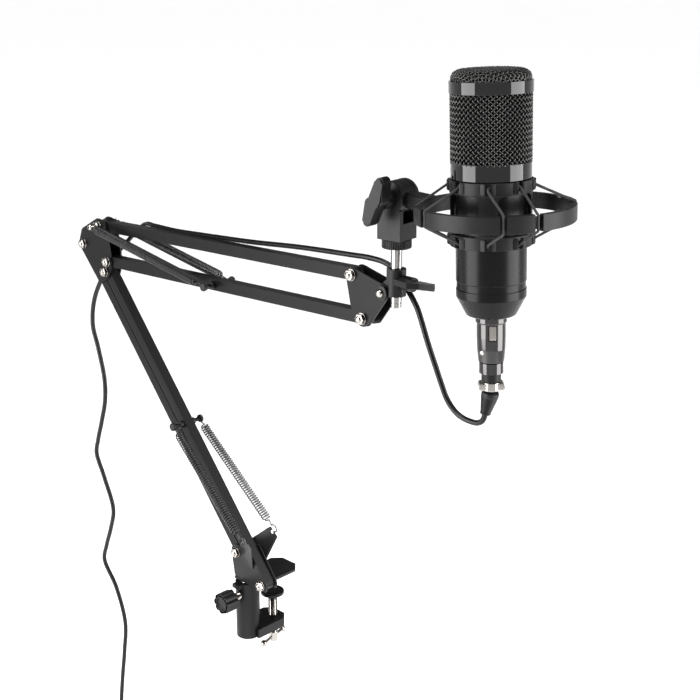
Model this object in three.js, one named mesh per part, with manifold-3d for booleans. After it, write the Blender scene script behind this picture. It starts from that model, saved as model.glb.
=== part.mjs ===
// Condenser microphone in a suspension mount, on a sprung two-section boom arm with a desk clamp.
// Millimetres, +Z up. The origin is on the underside of the upper clamp jaw, on the clamp screw's axis.
// +Y points over the desk, and +X is the side that the boom reaches to.
import * as THREE from 'three';
import { ConvexGeometry } from 'three/addons/geometries/ConvexGeometry.js';
import { mergeVertices } from 'three/addons/utils/BufferGeometryUtils.js';
import Module from 'manifold-3d';

const wasm = await Module();
wasm.setup();

// ---- driving dimensions ----
const gap = 0.3;                     // clearance between separate touching pieces
const boomY = -28;                   // the plane that the arms swing in, and the socket's axis
const barSize = 9;                   // square tube
const barLength = 300;               // pivot to pivot
const lowerLean = 39.7;              // degrees back from upright
const upperRise = 1.73;              // degrees above level
const plateThickness = 1.2;
const boltRadius = 2.4;
const boltHole = 2.8;
const springRadius = 4;
const springOffset = 12.9;           // each spring's distance from the boom's plane
const leadRadius = 2;
const mountAzimuth = 5.16;           // degrees that the mount is turned from +X
const micTilt = -2.3;                // degrees that the ring and microphone lean
const ringReach = 76.7;              // tilt pivot to the ring's centre
const offCentre = 2.9;               // the cradle hangs this much nearer the rod than the ring's centre

// ---- pivots, as [x, z] in the boom's plane ----
const basePitch = [29.4, -20.3];     // rear pivot to front pivot, at both ends of the lower bars
const upperPitch = [10.2, -29.8];    // top pivot to bottom pivot, at both ends of the upper bars
const lowerDirection = [-sine(lowerLean), cosine(lowerLean)];
const upperDirection = [cosine(upperRise), sine(upperRise)];
const baseRear = [-5.5, 28];
const baseFront = along(baseRear, basePitch, 1);
const elbowRear = along(baseRear, lowerDirection, barLength);
const elbowFront = along(elbowRear, basePitch, 1);
const elbowTop = along(elbowRear, [22.9, 18.9], 1);
const elbowBottom = along(elbowTop, upperPitch, 1);
const headTop = along(elbowTop, upperDirection, barLength);
const headBottom = along(headTop, upperPitch, 1);
const clampPivot = along(headTop, [28.8, -7.8], 1);
const lowerPin = along(baseFront, lowerDirection, barLength / 2);
const upperPin = along(elbowBottom, upperDirection, 138.5);
const rodX = 162.3;                  // the mount's upright rod
const tiltZ = 345.6;                 // height of the mount's tilt pivot
const microphoneZ = -3.4;            // the ring's middle plane, measured from the tilt pivot

function sine(degrees) {
  return Math.sin(THREE.MathUtils.degToRad(degrees));
}

function cosine(degrees) {
  return Math.cos(THREE.MathUtils.degToRad(degrees));
}

function along(start, direction, distance) {
  return [start[0] + direction[0] * distance, start[1] + direction[1] * distance];
}

function point(x, y, z) {
  return new THREE.Vector3(x, y, z);
}

// ---- shape helpers ----
function box(x0, x1, y0, y1, z0, z1) {
  const geometry = new THREE.BoxGeometry(x1 - x0, y1 - y0, z1 - z0);
  return geometry.translate((x0 + x1) / 2, (y0 + y1) / 2, (z0 + z1) / 2);
}

function cylinder(radius, from, to, sides = 16) {
  const direction = to.clone().sub(from);
  const geometry = new THREE.CylinderGeometry(radius, radius, direction.length(), sides);
  const turn = new THREE.Quaternion().setFromUnitVectors(point(0, 1, 0), direction.clone().normalize());
  return geometry.applyQuaternion(turn).translate(...from.clone().add(to).multiplyScalar(0.5).toArray());
}

// A turned shape about Z, from [radius, z] pairs that run upwards on its outside.
function turned(profile, sides = 32) {
  const points = profile.map(([radius, z]) => new THREE.Vector2(radius, z));
  return new THREE.LatheGeometry(points, sides).rotateX(Math.PI / 2);
}

// The same, about an axis through start that points along direction.
function turnedAlong(profile, start, direction, sides = 16) {
  const turn = new THREE.Quaternion().setFromUnitVectors(point(0, 0, 1), direction.clone().normalize());
  return turned(profile, sides).applyQuaternion(turn).translate(...start.toArray());
}

// The outline that a belt takes round discs given as [x, z, radius].
function beltRound(discs, lowest = -Infinity) {
  const samples = [];
  for (const [x, z, radius] of discs) {
    for (let step = 0; step < 16; step += 1) {
      const angle = step / 16 * 2 * Math.PI;
      samples.push([x + radius * Math.cos(angle), Math.max(z + radius * Math.sin(angle), lowest)]);
    }
  }
  samples.sort((a, b) => a[0] - b[0] || a[1] - b[1]);
  const turnOf = (a, b, c) => (b[0] - a[0]) * (c[1] - a[1]) - (b[1] - a[1]) * (c[0] - a[0]);
  const chain = (list) => {
    const kept = [];
    for (const sample of list) {
      while (kept.length > 1 && turnOf(kept.at(-2), kept.at(-1), sample) < 1e-6) {
        kept.pop();
      }
      kept.push(sample);
    }
    return kept.slice(0, -1);
  };
  return [...chain(samples), ...chain(samples.reverse())];
}

// A flat plate in the XZ plane, between two values of y, with round holes given as [x, z, radius].
function slab(outline, y0, y1, holes = []) {
  const shape = new THREE.Shape(outline.map(([x, z]) => new THREE.Vector2(x, z)));
  for (const [x, z, radius] of holes) {
    shape.holes.push(new THREE.Path().absarc(x, z, radius, 0, 2 * Math.PI, true));
  }
  const geometry = new THREE.ExtrudeGeometry(shape, { depth: y1 - y0, bevelEnabled: false, curveSegments: 6 });
  return geometry.rotateX(Math.PI / 2).translate(0, y1, 0);
}

// A flat plate in the XY plane, between two heights.
function tray(outline, z0, z1) {
  const shape = new THREE.Shape(outline.map(([x, y]) => new THREE.Vector2(x, y)));
  return new THREE.ExtrudeGeometry(shape, { depth: z1 - z0, bevelEnabled: false }).translate(0, 0, z0);
}

// A round cord through points.
function cord(points, radius, steps, sides = 8, closed = false) {
  const section = new THREE.Shape();
  for (let side = 0; side < sides; side += 1) {
    const angle = side / sides * 2 * Math.PI;
    const place = [radius * Math.cos(angle), radius * Math.sin(angle)];
    if (side === 0) {
      section.moveTo(...place);
    } else {
      section.lineTo(...place);
    }
  }
  section.closePath();
  const path = new THREE.CatmullRomCurve3(points, closed, 'centripetal');
  return new THREE.ExtrudeGeometry(section, { steps, extrudePath: path, bevelEnabled: false });
}

function solid(geometry) {
  const bare = new THREE.BufferGeometry();
  bare.setAttribute('position', geometry.getAttribute('position'));
  bare.setIndex(geometry.getIndex());
  const merged = mergeVertices(bare, 1e-4);
  const index = merged.getIndex().array;
  const kept = [];
  for (let corner = 0; corner < index.length; corner += 3) {
    const [a, b, c] = index.slice(corner, corner + 3);
    if (a !== b && b !== c && a !== c) {
      kept.push(a, b, c);
    }
  }
  const triVerts = new Uint32Array(kept);
  const vertProperties = new Float32Array(merged.getAttribute('position').array);
  return new wasm.Manifold(new wasm.Mesh({ numProp: 3, vertProperties, triVerts }));
}

function geometryOf(manifold) {
  const mesh = manifold.getMesh();
  const geometry = new THREE.BufferGeometry();
  geometry.setAttribute('position', new THREE.BufferAttribute(mesh.vertProperties, 3));
  geometry.setIndex(new THREE.BufferAttribute(mesh.triVerts, 1));
  geometry.computeVertexNormals();
  return geometry;
}

function join(first, ...others) {
  return geometryOf(others.reduce((whole, other) => whole.add(solid(other)), solid(first)));
}

function cut(first, ...tools) {
  return geometryOf(tools.reduce((whole, tool) => whole.subtract(solid(tool)), solid(first)));
}

// ---- materials ----
function finish(color, roughness, metalness = 0) {
  return new THREE.MeshStandardMaterial({ color, roughness, metalness });
}

const blackPaint = finish(0x17171a, 0.45, 0.3);
const nickel = finish(0xb9b6ae, 0.25, 1);
const blackPlastic = finish(0x131315, 0.5);
const glossBlack = finish(0x0a0a0b, 0.12);
const satinBlack = finish(0x101012, 0.4, 0.2);
const meshBlack = finish(0x1c1c1d, 0.4, 0.6);
const elasticBlack = finish(0x1a1a1a, 0.9);
const leadBlack = finish(0x0c0c0d, 0.4);
const boardGreen = finish(0x1c5a34, 0.5);
const brass = finish(0xb08d3c, 0.3, 1);

const model = new THREE.Group();

function add(parent, name, geometry, material) {
  const mesh = new THREE.Mesh(geometry, material);
  mesh.name = name;
  parent.add(mesh);
  return mesh;
}

// ---- desk clamp ----
const socketOuter = 10;
const socketBore = 6.4;
const socketTop = 2.4;
const socketBottom = -42;
const jawTop = 2.4;
const lowerJawTop = -40;
const lowerJawBottom = -48;
const screwRadius = 3.9;
const padTop = -18;
const padThickness = 3.7;
const screwBottom = -66;
const tommyZ = -62.3;
const tommyDirection = point(-0.229, 0.973, 0).normalize();
const knobZ = -9;

function clampFrame() {
  const upperJaw = tray([[-15, boomY], [15, boomY], [15, 13], [8, 20], [-8, 20], [-15, 13]], 0, jawTop);
  const lowerJaw = tray([[-13, boomY], [13, boomY], [13, 1], [7, 7], [-7, 7], [-13, 1]], lowerJawBottom, lowerJawTop);
  const tube = cylinder(socketOuter, point(0, boomY, lowerJawBottom), point(0, boomY, socketTop), 24);
  const lip = box(-4, 4, boomY - socketOuter - 3, boomY - socketOuter + 3, -1, socketTop);
  const whole = join(tube, upperJaw, lowerJaw, lip);
  const bore = cylinder(socketBore, point(0, boomY, socketBottom), point(0, boomY, socketTop + 5), 24);
  const thread = cylinder(screwRadius + 0.4, point(0, 0, lowerJawBottom - 5), point(0, 0, lowerJawTop + 5));
  const knobHole = cylinder(3.4, point(0, boomY - 20, knobZ), point(0, boomY, knobZ), 12);
  return cut(whole, bore, thread, knobHole);
}

function clampScrew() {
  const stem = cylinder(screwRadius, point(0, 0, screwBottom), point(0, 0, padTop - padThickness - gap));
  const eye = point(0, 0, tommyZ);
  const hole = cylinder(1.9, eye.clone().addScaledVector(tommyDirection, -8),
    eye.clone().addScaledVector(tommyDirection, 8), 10);
  return cut(stem, hole);
}

function tommyBar() {
  const half = 17;
  const profile = [[0, -half], [2, -half + 0.4], [2.9, -half + 2.5], [2, -half + 4.8], [1.4, -half + 5.4],
    [1.4, half - 5.4], [2, half - 4.8], [2.9, half - 2.5], [2, half - 0.4], [0, half]];
  return turnedAlong(profile, point(0, 0, tommyZ), tommyDirection, 10);
}

function socketKnob() {
  const ribs = [];
  const steps = 48;
  for (let step = 0; step < steps; step += 1) {
    const angle = step / steps * 2 * Math.PI;
    const radius = 8.8 + 0.7 * Math.cos(8 * angle);
    ribs.push([radius * Math.cos(angle), knobZ + radius * Math.sin(angle)]);
  }
  const grip = slab(ribs, boomY - 31.5, boomY - 16.5);
  const stud = cylinder(2.9, point(0, boomY - 17, knobZ), point(0, boomY - 6 - gap, knobZ), 12);
  return join(grip, stud);
}

add(model, 'clamp_frame', clampFrame(), blackPaint);
add(model, 'clamp_screw', clampScrew(), nickel);
add(model, 'pressure_pad', cylinder(10, point(0, 0, padTop - padThickness), point(0, 0, padTop), 20), blackPlastic);
add(model, 'tommy_bar', tommyBar(), nickel);
add(model, 'socket_knob', socketKnob(), blackPlastic);

// ---- base bracket: two cheeks on a floor, with a flared ear for each lower spring ----
const floorBottom = 3.1;
const floorTop = 5;
const hookX = 14.7;
const hookZ = 48;
const hookOffset = 15;

function baseYoke() {
  const outline = beltRound([[...baseRear, 6.5], [...baseFront, 6.5], [9, 33, 2.5], [-7, 8, 2]], floorBottom);
  const holes = [[...baseRear, boltHole], [...baseFront, boltHole]];
  const pieces = [box(-9, 14, boomY - 6, boomY + 6, floorBottom, floorTop)];
  for (const side of [-1, 1]) {
    const inner = boomY + side * (barSize / 2 + gap);
    const outer = inner + side * plateThickness;
    pieces.push(slab(outline, Math.min(inner, outer), Math.max(inner, outer), holes));
    const corners = [[-2, 36.5, 0], [13.5, 19, 0], [hookX - 0.5, 51, 1], [hookX + 7, 44.5, 1]];
    const ear = [];
    for (const [x, z, flare] of corners) {
      const y = inner + side * flare * (hookOffset - 6.3);
      ear.push(point(x, y, z), point(x + 0.6, y + side * plateThickness, z - 0.6));
    }
    pieces.push(new ConvexGeometry(ear));
  }
  const whole = join(...pieces);
  const rivetHole = cylinder(3.3, point(0, boomY, 0), point(0, boomY, 10), 12);
  const hookHoles = [-1, 1].map((side) => cylinder(1.7, point(hookX + 2.2, boomY + side * 4, hookZ - 1),
    point(hookX + 2.2, boomY + side * 20, hookZ - 1), 10));
  return cut(whole, rivetHole, ...hookHoles);
}

function basePost() {
  return turnedAlong([[0, -38], [5.2, -38], [6, -37], [6, floorBottom - gap], [3, floorBottom - gap],
    [3, floorTop + gap], [4.4, floorTop + gap], [4.4, floorTop + 1.4], [0, floorTop + 1.9]],
  point(0, boomY, 0), point(0, 0, 1), 24);
}

// A bolt across the boom, with a domed nut on the near side and a flat head on the far side.
function crossBolt([x, z], near = 11, far = 0) {
  const inner = barSize / 2 + gap + plateThickness + gap;
  const head = 9.4;
  const farEnd = far > head ? [[4.3, head], [boltRadius, head], [boltRadius, far], [0, far]] : [[4.3, head], [0, head]];
  return turnedAlong([[0, -near], [boltRadius, -near], [boltRadius, -10.2], [4.3, -10.2], [4.3, -inner],
    [boltRadius, -inner], [boltRadius, inner], [4.3, inner], ...farEnd], point(x, boomY, z), point(0, 1, 0), 10);
}

function bar(from, to, holes = []) {
  const half = barSize / 2;
  const outline = beltRound([[...from, half], [...to, half]]);
  const ends = [[...from, boltHole], [...to, boltHole]];
  return slab(outline, boomY - half, boomY + half, [...ends, ...holes]);
}

function springPin([x, z]) {
  const reach = springOffset + 3.4;
  return turnedAlong([[0, -reach], [3.4, -reach], [3.4, 3 - reach], [1.6, 3 - reach],
    [1.6, reach - 3], [3.4, reach - 3], [3.4, reach], [0, reach]], point(x, boomY, z), point(0, 1, 0), 10);
}

add(model, 'base_yoke', baseYoke(), blackPaint);
add(model, 'base_post', basePost(), nickel);
add(model, 'base_bolt_rear', crossBolt(baseRear), nickel);
add(model, 'base_bolt_front', crossBolt(baseFront), nickel);
add(model, 'lower_rear_bar', bar(baseRear, elbowRear), blackPaint);
add(model, 'lower_front_bar', bar(baseFront, elbowFront, [[...lowerPin, 2]]), blackPaint);
add(model, 'lower_spring_pin', springPin(lowerPin), blackPlastic);

// ---- springs: each a plain rod of the coil's outer size ----
const sides = { near: -1, far: 1 };

function springRod(from, to, startTrim, endTrim) {
  const direction = to.clone().sub(from).normalize();
  return cylinder(springRadius, from.clone().addScaledVector(direction, startTrim),
    to.clone().addScaledVector(direction, -endTrim), 8);
}

for (const [name, side] of Object.entries(sides)) {
  const y = boomY + side * springOffset;
  const hook = point(hookX, boomY + side * (hookOffset + 2.5), hookZ);
  const lowerEnd = point(lowerPin[0], y + side * 0.5, lowerPin[1]);
  add(model, `lower_spring_${name}`, springRod(hook, lowerEnd, 9, 5.5), nickel);
  const upperStart = point(elbowTop[0], y, elbowTop[1]);
  const upperEnd = point(upperPin[0], y, upperPin[1]);
  add(model, `upper_spring_${name}`, springRod(upperStart, upperEnd, 7, 12), nickel);
  const direction = upperEnd.clone().sub(upperStart).normalize();
  const tail = cylinder(1.2, upperEnd.clone().addScaledVector(direction, -11.5),
    upperEnd.clone().addScaledVector(direction, -4.4), 6);
  add(model, `upper_spring_tail_${name}`, tail, nickel);
}

// ---- elbow, upper bars and head ----
function plates(parent, name, discs, holes) {
  const outline = beltRound(discs);
  const inner = barSize / 2 + gap;
  const outer = inner + plateThickness;
  const bores = holes.map((place) => [...place, boltHole]);
  add(parent, `${name}_near_plate`, slab(outline, boomY - outer, boomY - inner, bores), blackPaint);
  add(parent, `${name}_far_plate`, slab(outline, boomY + inner, boomY + outer, bores), blackPaint);
}

const elbowDiscs = [[...elbowRear, 6.5], [...elbowFront, 6.2], [...elbowTop, 6.5], [...elbowBottom, 5.8],
  [-197.5, 270.5, 2], [-165, 281, 2], [-176, 229, 2]];
plates(model, 'elbow', elbowDiscs, [elbowRear, elbowFront, elbowTop, elbowBottom]);
add(model, 'elbow_bolt_rear', crossBolt(elbowRear), nickel);
add(model, 'elbow_bolt_front', crossBolt(elbowFront), nickel);
add(model, 'elbow_bolt_top', crossBolt(elbowTop, springOffset + 3, springOffset + 3), nickel);
add(model, 'elbow_bolt_bottom', crossBolt(elbowBottom), nickel);
add(model, 'upper_top_bar', bar(elbowTop, headTop), blackPaint);
add(model, 'upper_bottom_bar', bar(elbowBottom, headBottom, [[...upperPin, 2]]), blackPaint);
add(model, 'upper_spring_pin', springPin(upperPin), blackPlastic);

const headDiscs = [[...headTop, 5.5], [...headBottom, 6], [...clampPivot, 6], [127, 264, 2], [141.5, 254.5, 2]];
plates(model, 'head', headDiscs, [headTop, headBottom, clampPivot]);
add(model, 'head_bolt_top', crossBolt(headTop), nickel);
add(model, 'head_bolt_bottom', crossBolt(headBottom), nickel);
add(model, 'head_rivet', crossBolt(clampPivot, 10.3), nickel);

// ---- rod clamp on the head, with its wing screw ----
const wingZ = 287.7;
const rodRadius = 3.9;

function rodClamp() {
  const tongue = slab(beltRound([[...clampPivot, 4.4], [rodX - 4, 284, 4.4]]), boomY - 4.5, boomY + 4.5);
  const block = cylinder(6.8, point(rodX, boomY, 277.5), point(rodX, boomY, 296.5), 20);
  const rodHole = cylinder(rodRadius + gap, point(rodX, boomY, 250), point(rodX, boomY, 320), 20);
  const screwHole = cylinder(2.5, point(rodX, boomY, wingZ), point(rodX + 12, boomY, wingZ), 10);
  const shoulders = [-1, 1].map((side) => box(rodX - 10, rodX - 1, boomY + side * 7 - 2.5, boomY + side * 7 + 2.5, 270, 300));
  const pivotHole = cylinder(boltHole, point(clampPivot[0], boomY - 9, clampPivot[1]),
    point(clampPivot[0], boomY + 9, clampPivot[1]), 16);
  return cut(join(tongue, block), rodHole, screwHole, pivotHole, ...shoulders);
}

function wingScrew() {
  const stem = cylinder(2.1, point(rodX + rodRadius + gap, boomY, wingZ), point(rodX + 14, boomY, wingZ), 10);
  const hub = cylinder(5, point(rodX + 7.5, boomY, wingZ), point(rodX + 16, boomY, wingZ), 16);
  const blade = new ConvexGeometry([
    [8, -12, 6.3], [8, -5, 6.5], [8, 5, -6.5], [8, 12, -6.3],
    [22, -15, 7], [27, -8, 5], [27, 8, -5], [22, 15, -7],
  ].flatMap(([x, y, z]) => [point(rodX + x, boomY + y, wingZ + z * 0.45 + 2),
    point(rodX + x, boomY + y, wingZ + z * 0.45 - 2)]));
  return join(stem, hub, blade);
}

add(model, 'rod_clamp', rodClamp(), blackPlastic);
add(model, 'wing_screw', wingScrew(), blackPlastic);

// ---- suspension mount, turned about the rod ----
const mount = new THREE.Group();
mount.position.set(rodX, boomY, 0);
mount.rotation.z = THREE.MathUtils.degToRad(mountAzimuth);
model.add(mount);

const collarBottom = 311;
const blockBottom = 317.3;
const blockTop = 338;
const blockHalf = 9.5;
const knuckleHalf = 5.7;

function mountRod() {
  return turned([[0, 269], [3.4, 269], [rodRadius, 270], [rodRadius, collarBottom - gap], [3, collarBottom - gap],
    [3, 327], [0, 327]], 20);
}

function mountBase() {
  const block = box(-blockHalf, blockHalf, -blockHalf, blockHalf, blockBottom, blockTop);
  const dome = cylinder(11.5, point(0, -blockHalf, tiltZ), point(0, blockHalf, tiltZ), 24);
  const space = cylinder(12.3, point(0, -knuckleHalf - gap, tiltZ), point(0, knuckleHalf + gap, tiltZ), 24);
  const bolt = cylinder(3.1, point(0, -20, tiltZ), point(0, 20, tiltZ), 12);
  const rodHole = cylinder(3.4, point(0, 0, 300), point(0, 0, 327.5), 12);
  const slot = box(0, 12, -knuckleHalf - gap, knuckleHalf + gap, blockTop - 9, blockTop + 5);
  return cut(join(block, dome), space, slot, bolt, rodHole);
}

function lockCollar() {
  return cut(cylinder(10.2, point(0, 0, collarBottom), point(0, 0, blockBottom - gap), 24),
    cylinder(3.4, point(0, 0, 300), point(0, 0, 320), 12));
}

function tiltKnob() {
  const shaft = cylinder(2.7, point(0, -12, tiltZ), point(0, blockHalf + 0.5, tiltZ), 12);
  const nut = cylinder(4.2, point(0, blockHalf + gap, tiltZ), point(0, blockHalf + 3.6, tiltZ), 6);
  const hub = cylinder(6.4, point(0, -blockHalf - gap - 11, tiltZ), point(0, -blockHalf - gap, tiltZ), 16);
  const lever = [5.3, 13.6];
  const outline = beltRound([[-lever[0], -lever[1], 3.4], [0, 0, 5], [lever[0], lever[1], 3.4]]);
  const wings = slab(outline, -27.5, -17.5).translate(0, 0, tiltZ);
  return join(shaft, nut, hub, wings);
}

add(mount, 'mount_rod', mountRod(), nickel);
add(mount, 'lock_collar', lockCollar(), blackPlastic);
add(mount, 'mount_base', mountBase(), blackPlastic);
add(mount, 'tilt_knob', tiltKnob(), blackPlastic);

// ---- everything that tilts: the ring with its arm, the cradle and the microphone ----
const tilting = new THREE.Group();
tilting.position.z = tiltZ;
tilting.rotation.y = THREE.MathUtils.degToRad(micTilt);
mount.add(tilting);

const ringOuter = 51.25;
const ringThickness = 4;
const ringHalf = 5.25;

function mountRing() {
  const inner = ringOuter - ringThickness;
  const hoop = turned([[inner, -ringHalf], [ringOuter, -ringHalf], [ringOuter, ringHalf], [inner, ringHalf],
    [inner, -ringHalf]], 48).translate(ringReach, 0, microphoneZ);
  const knuckle = cylinder(11.4, point(0, -knuckleHalf, 0), point(0, knuckleHalf, 0), 24);
  const tongue = new ConvexGeometry([-1, 1].flatMap((side) => [
    point(5, side * 4.5, 5.2), point(5, side * 4.5, -5.2),
    point(ringReach - ringOuter + 2.5, side * 7.5, microphoneZ + 5.25),
    point(ringReach - ringOuter + 2.5, side * 7.5, microphoneZ - 5.25)]));
  return cut(join(knuckle, tongue, hoop), cylinder(3.1, point(0, -20, 0), point(0, 20, 0), 12));
}

add(tilting, 'mount_ring', mountRing(), blackPlastic);

const microphone = new THREE.Group();
microphone.position.set(ringReach - offCentre, 0, microphoneZ);
tilting.add(microphone);

const cradleBore = 23;
const cradleOuter = 26.5;
const upperBandTop = 21;
const upperBandBottom = 13;
const lowerBandTop = -12.8;
const lowerBandBottom = -21;
const firstHook = -61.4;             // degrees round the cradle, then every 45

function atAngle(radius, degrees, z) {
  return point(radius * cosine(degrees), radius * sine(degrees), z);
}

function cradle() {
  const sleeve = turned([[cradleBore, lowerBandBottom], [cradleOuter, lowerBandBottom],
    [cradleOuter, upperBandTop], [cradleBore, upperBandTop], [cradleBore, lowerBandBottom]], 40);
  const windows = [];
  for (let count = 0; count < 4; count += 1) {
    const window = box(10, 40, -13.5, 13.5, lowerBandTop, upperBandBottom);
    windows.push(window.rotateZ(THREE.MathUtils.degToRad(firstHook + 22.5 + 90 * count + 22.5)));
  }
  return cut(sleeve, ...windows);
}

// One elastic: a loop over the ring and under it, from two hooks on each band of the cradle.
function elastic(ringAngle) {
  const hookRadius = cradleOuter + 2.2;
  const left = ringAngle - 21.5;
  const right = ringAngle + 23.5;
  const wrap = (angle, sign) => [
    atAngle(ringOuter - 1.8, angle, (ringHalf + 2) * sign),
    atAngle(ringOuter + 1, angle, (ringHalf + 1.8) * sign),
    atAngle(ringOuter + 2.2, angle, ringHalf * sign)].map((place) => place.add(point(offCentre, 0, 0)));
  const strand = (hookAngle, notchAngle, sign) => {
    const hook = atAngle(hookRadius, hookAngle, 17.5 * sign);
    return sign > 0 ? [hook, ...wrap(notchAngle, 1)] : [...wrap(notchAngle, -1).reverse(), hook];
  };
  const middle = (left + right) / 2;
  const route = [
    atAngle(hookRadius, middle - 2, 17.5),
    ...strand(left, ringAngle - 7.5, 1), ...strand(left, ringAngle - 7.5, -1),
    atAngle(hookRadius, middle, -17.5),
    ...strand(right, ringAngle + 3.5, -1).reverse(), ...strand(right, ringAngle + 3.5, 1).reverse(),
    atAngle(hookRadius, middle + 2, 17.5)];
  return cord(route, 1.1, 40, 5);
}

add(microphone, 'cradle', cradle(), blackPlastic);
for (let count = 0; count < 4; count += 1) {
  add(microphone, `elastic_${count + 1}`, elastic(-39.9 + 90 * count), elasticBlack);
}

const bodyRadius = 22.65;
const bodyTop = 21;
const bodyBottom = -55;
const tailBottom = -67.3;

function microphoneBody() {
  const wall = 2;
  return turned([[9.6, tailBottom], [15.75, tailBottom], [bodyRadius - 1.2, bodyBottom - 2.2], [bodyRadius, bodyBottom],
    [bodyRadius, -49.3], [bodyRadius - 0.6, -49], [bodyRadius - 0.6, -44.6], [bodyRadius, -44.3], [bodyRadius, bodyTop],
    [bodyRadius - wall, bodyTop], [bodyRadius - wall, -54], [9.6, -63], [9.6, tailBottom]], 32);
}

function headGrille() {
  return turned([[23.6, bodyTop + gap], [24.7, bodyTop + gap], [24.7, 32], [25.9, 32.2], [25.9, 73.3],
    [24.7, 73.5], [24.7, 82], [22, 85.4], [15, 87.9], [0, 88.8], [0, 87.6], [14.6, 86.7], [21.2, 84.4],
    [23.6, 81.5], [23.6, bodyTop + gap]], 28);
}

function band(outer, bottom, top) {
  return turned([[25, bottom], [outer, bottom], [outer, top], [25, top], [25, bottom]], 32);
}

function capsule() {
  const disc = cylinder(13, point(0, -4.5, 54), point(0, 4.5, 54), 24);
  const stand = cylinder(4, point(0, 0, 24), point(0, 0, 45), 12);
  const deck = cylinder(20, point(0, 0, 22), point(0, 0, 24.5), 20);
  return join(disc, stand, deck);
}

function circuitBoard() {
  const board = box(-15, 15, -0.8, 0.8, -48, 15);
  const parts = [[-7, -30, 3, 8], [6, -18, 4, 6], [-4, -4, 3, 7], [7, 4, 2.5, 5]].map(([x, z, radius, height]) =>
    cylinder(radius, point(x, 0.5, z), point(x, 0.8 + height, z), 10));
  return join(board, ...parts);
}

function connector() {
  const insert = cylinder(8.6, point(0, 0, -55), point(0, 0, -50.5), 20);
  const pins = [-90, 0, 90].map((angle) => cylinder(1.1, atAngle(4, angle, -63), atAngle(4, angle, -54), 8));
  return join(insert, ...pins);
}

const latchAngle = -51.4;            // the latch faces this way round the microphone

function plugShell() {
  const shell = turned([[0, -112.4], [6.5, -112.4], [6.5, -106.8], [7.85, -106.6], [8.5, -98.8], [9.3, -90],
    [9.5, -82], [9.5, -72.5], [10.3, -72.2], [10.3, tailBottom - gap], [9, tailBottom - gap], [9, -57],
    [7.2, -57], [7.2, -66], [0, -66]], 20);
  const slot = box(6.3, 12, -2.7, 2.7, -83.5, -72.9).rotateZ(THREE.MathUtils.degToRad(latchAngle));
  return cut(shell, slot);
}

function plugLatch() {
  return box(7.5, 10.6, -2.3, 2.3, -83.1, -73.3).rotateZ(THREE.MathUtils.degToRad(latchAngle));
}

function plugClamp() {
  const strap = cylinder(6.25, point(0, 0, -118.6), point(0, 0, -112.7), 20);
  const screws = [-1, 1].map((side) => cylinder(2.4, point(side * 6.4, -5.2, -115.6), point(side * 6.4, 5.2, -115.6), 10));
  return join(strap, ...screws.map((screw) => screw.rotateZ(THREE.MathUtils.degToRad(38))));
}

add(microphone, 'mic_body', microphoneBody(), satinBlack);
add(microphone, 'head_grille', headGrille(), meshBlack);
add(microphone, 'upper_band', band(26.25, 73.8, 81.4), glossBlack);
add(microphone, 'lower_band', band(25.5, bodyTop + 0.5, 31.7), glossBlack);
add(microphone, 'capsule', capsule(), brass);
add(microphone, 'circuit_board', circuitBoard(), boardGreen);
add(microphone, 'mic_connector', connector(), blackPlastic);
add(microphone, 'plug_shell', plugShell(), glossBlack);
add(microphone, 'plug_latch', plugLatch(), nickel);
add(microphone, 'plug_clamp', plugClamp(), nickel);

// ---- lead: from the plug, along the boom, down from the elbow to its coil ----
model.updateMatrixWorld(true);
const bootTop = microphone.localToWorld(point(0, 0, -118.9));
const bootBottom = point(236.4, -21, 208.6);

function plugBoot() {
  const direction = bootBottom.clone().sub(bootTop);
  const length = direction.length();
  return turnedAlong([[0, 0.3], [3.2, 1.2], [5.9, 2.6], [3.95, length], [0, length]], bootTop, direction, 16);
}

const loopRoute = [
  [236.2, -21, 207.9], [235.3, -21, 204.9], [233.4, -21, 202.2], [230, -21, 200.4], [225.6, -21, 199.9],
  [217.8, -21, 200.7], [210.8, -21, 203.6], [203.6, -21, 210.5], [197.9, -21, 221], [192.3, -21, 232.6],
  [187.6, -21, 242.3], [182.9, -20.6, 252], [178.2, -19.4, 260.3], [173.5, -18.3, 267.9], [168.9, -18, 274.1],
  [164.3, -18, 279.5], [160.5, -18, 284], [156, -18, 289]];
const armRoute = [
  [155.6, -18, 289.4], [150, -18.8, 293.6], [143, -20, 296.4], [130, -20.6, 297.4], [113, -20.8, 296.7],
  [62.1, -20.8, 294], [7, -20.8, 289.6], [-45, -20.8, 286.6], [-85, -20.6, 284.6], [-115, -17.5, 283.6],
  [-137.8, -11, 281], [-154, -8.3, 272.5], [-170, -8.2, 260], [-182, -11.5, 247.5], [-189.3, -16.8, 235.3]];
const dropRoute = [
  [-189.6, -17, 234.7], [-195.7, -20, 222.7], [-206, -20, 206], [-210.8, -20, 192], [-211.9, -20, 176.8],
  [-206.1, -20, 159], [-199.1, -20, 130], [-200.2, -20, 109.4], [-207.5, -20, 87], [-215.5, -20, 65.9],
  [-219.2, -20, 51.9], [-209, -20, 29.6], [-197.8, -20, 1.2], [-203.5, -20, -20], [-212.5, -20, -41.3],
  [-217.5, -20, -58.6], [-200.8, -20, -82], [-189.6, -20, -115.2], [-193.5, -20, -148], [-199, -20.4, -180],
  [-201.3, -22, -207.2], [-201.5, -24, -235]];
const coilRadius = 22;               // to the middle of the turns
const coilHalf = 6;
const coilCentre = point(-223.5, -20, -255.2);
const jackSide = 8;                  // the jack plug hangs beside the coil, below its middle
const jackDrop = -20.2;

function coil() {
  return turnedAlong([[coilRadius - coilHalf, -coilHalf], [coilRadius + coilHalf, -coilHalf],
    [coilRadius + coilHalf, coilHalf], [coilRadius - coilHalf, coilHalf], [coilRadius - coilHalf, -coilHalf]],
  coilCentre, point(0, 1, 0), 24);
}

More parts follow.
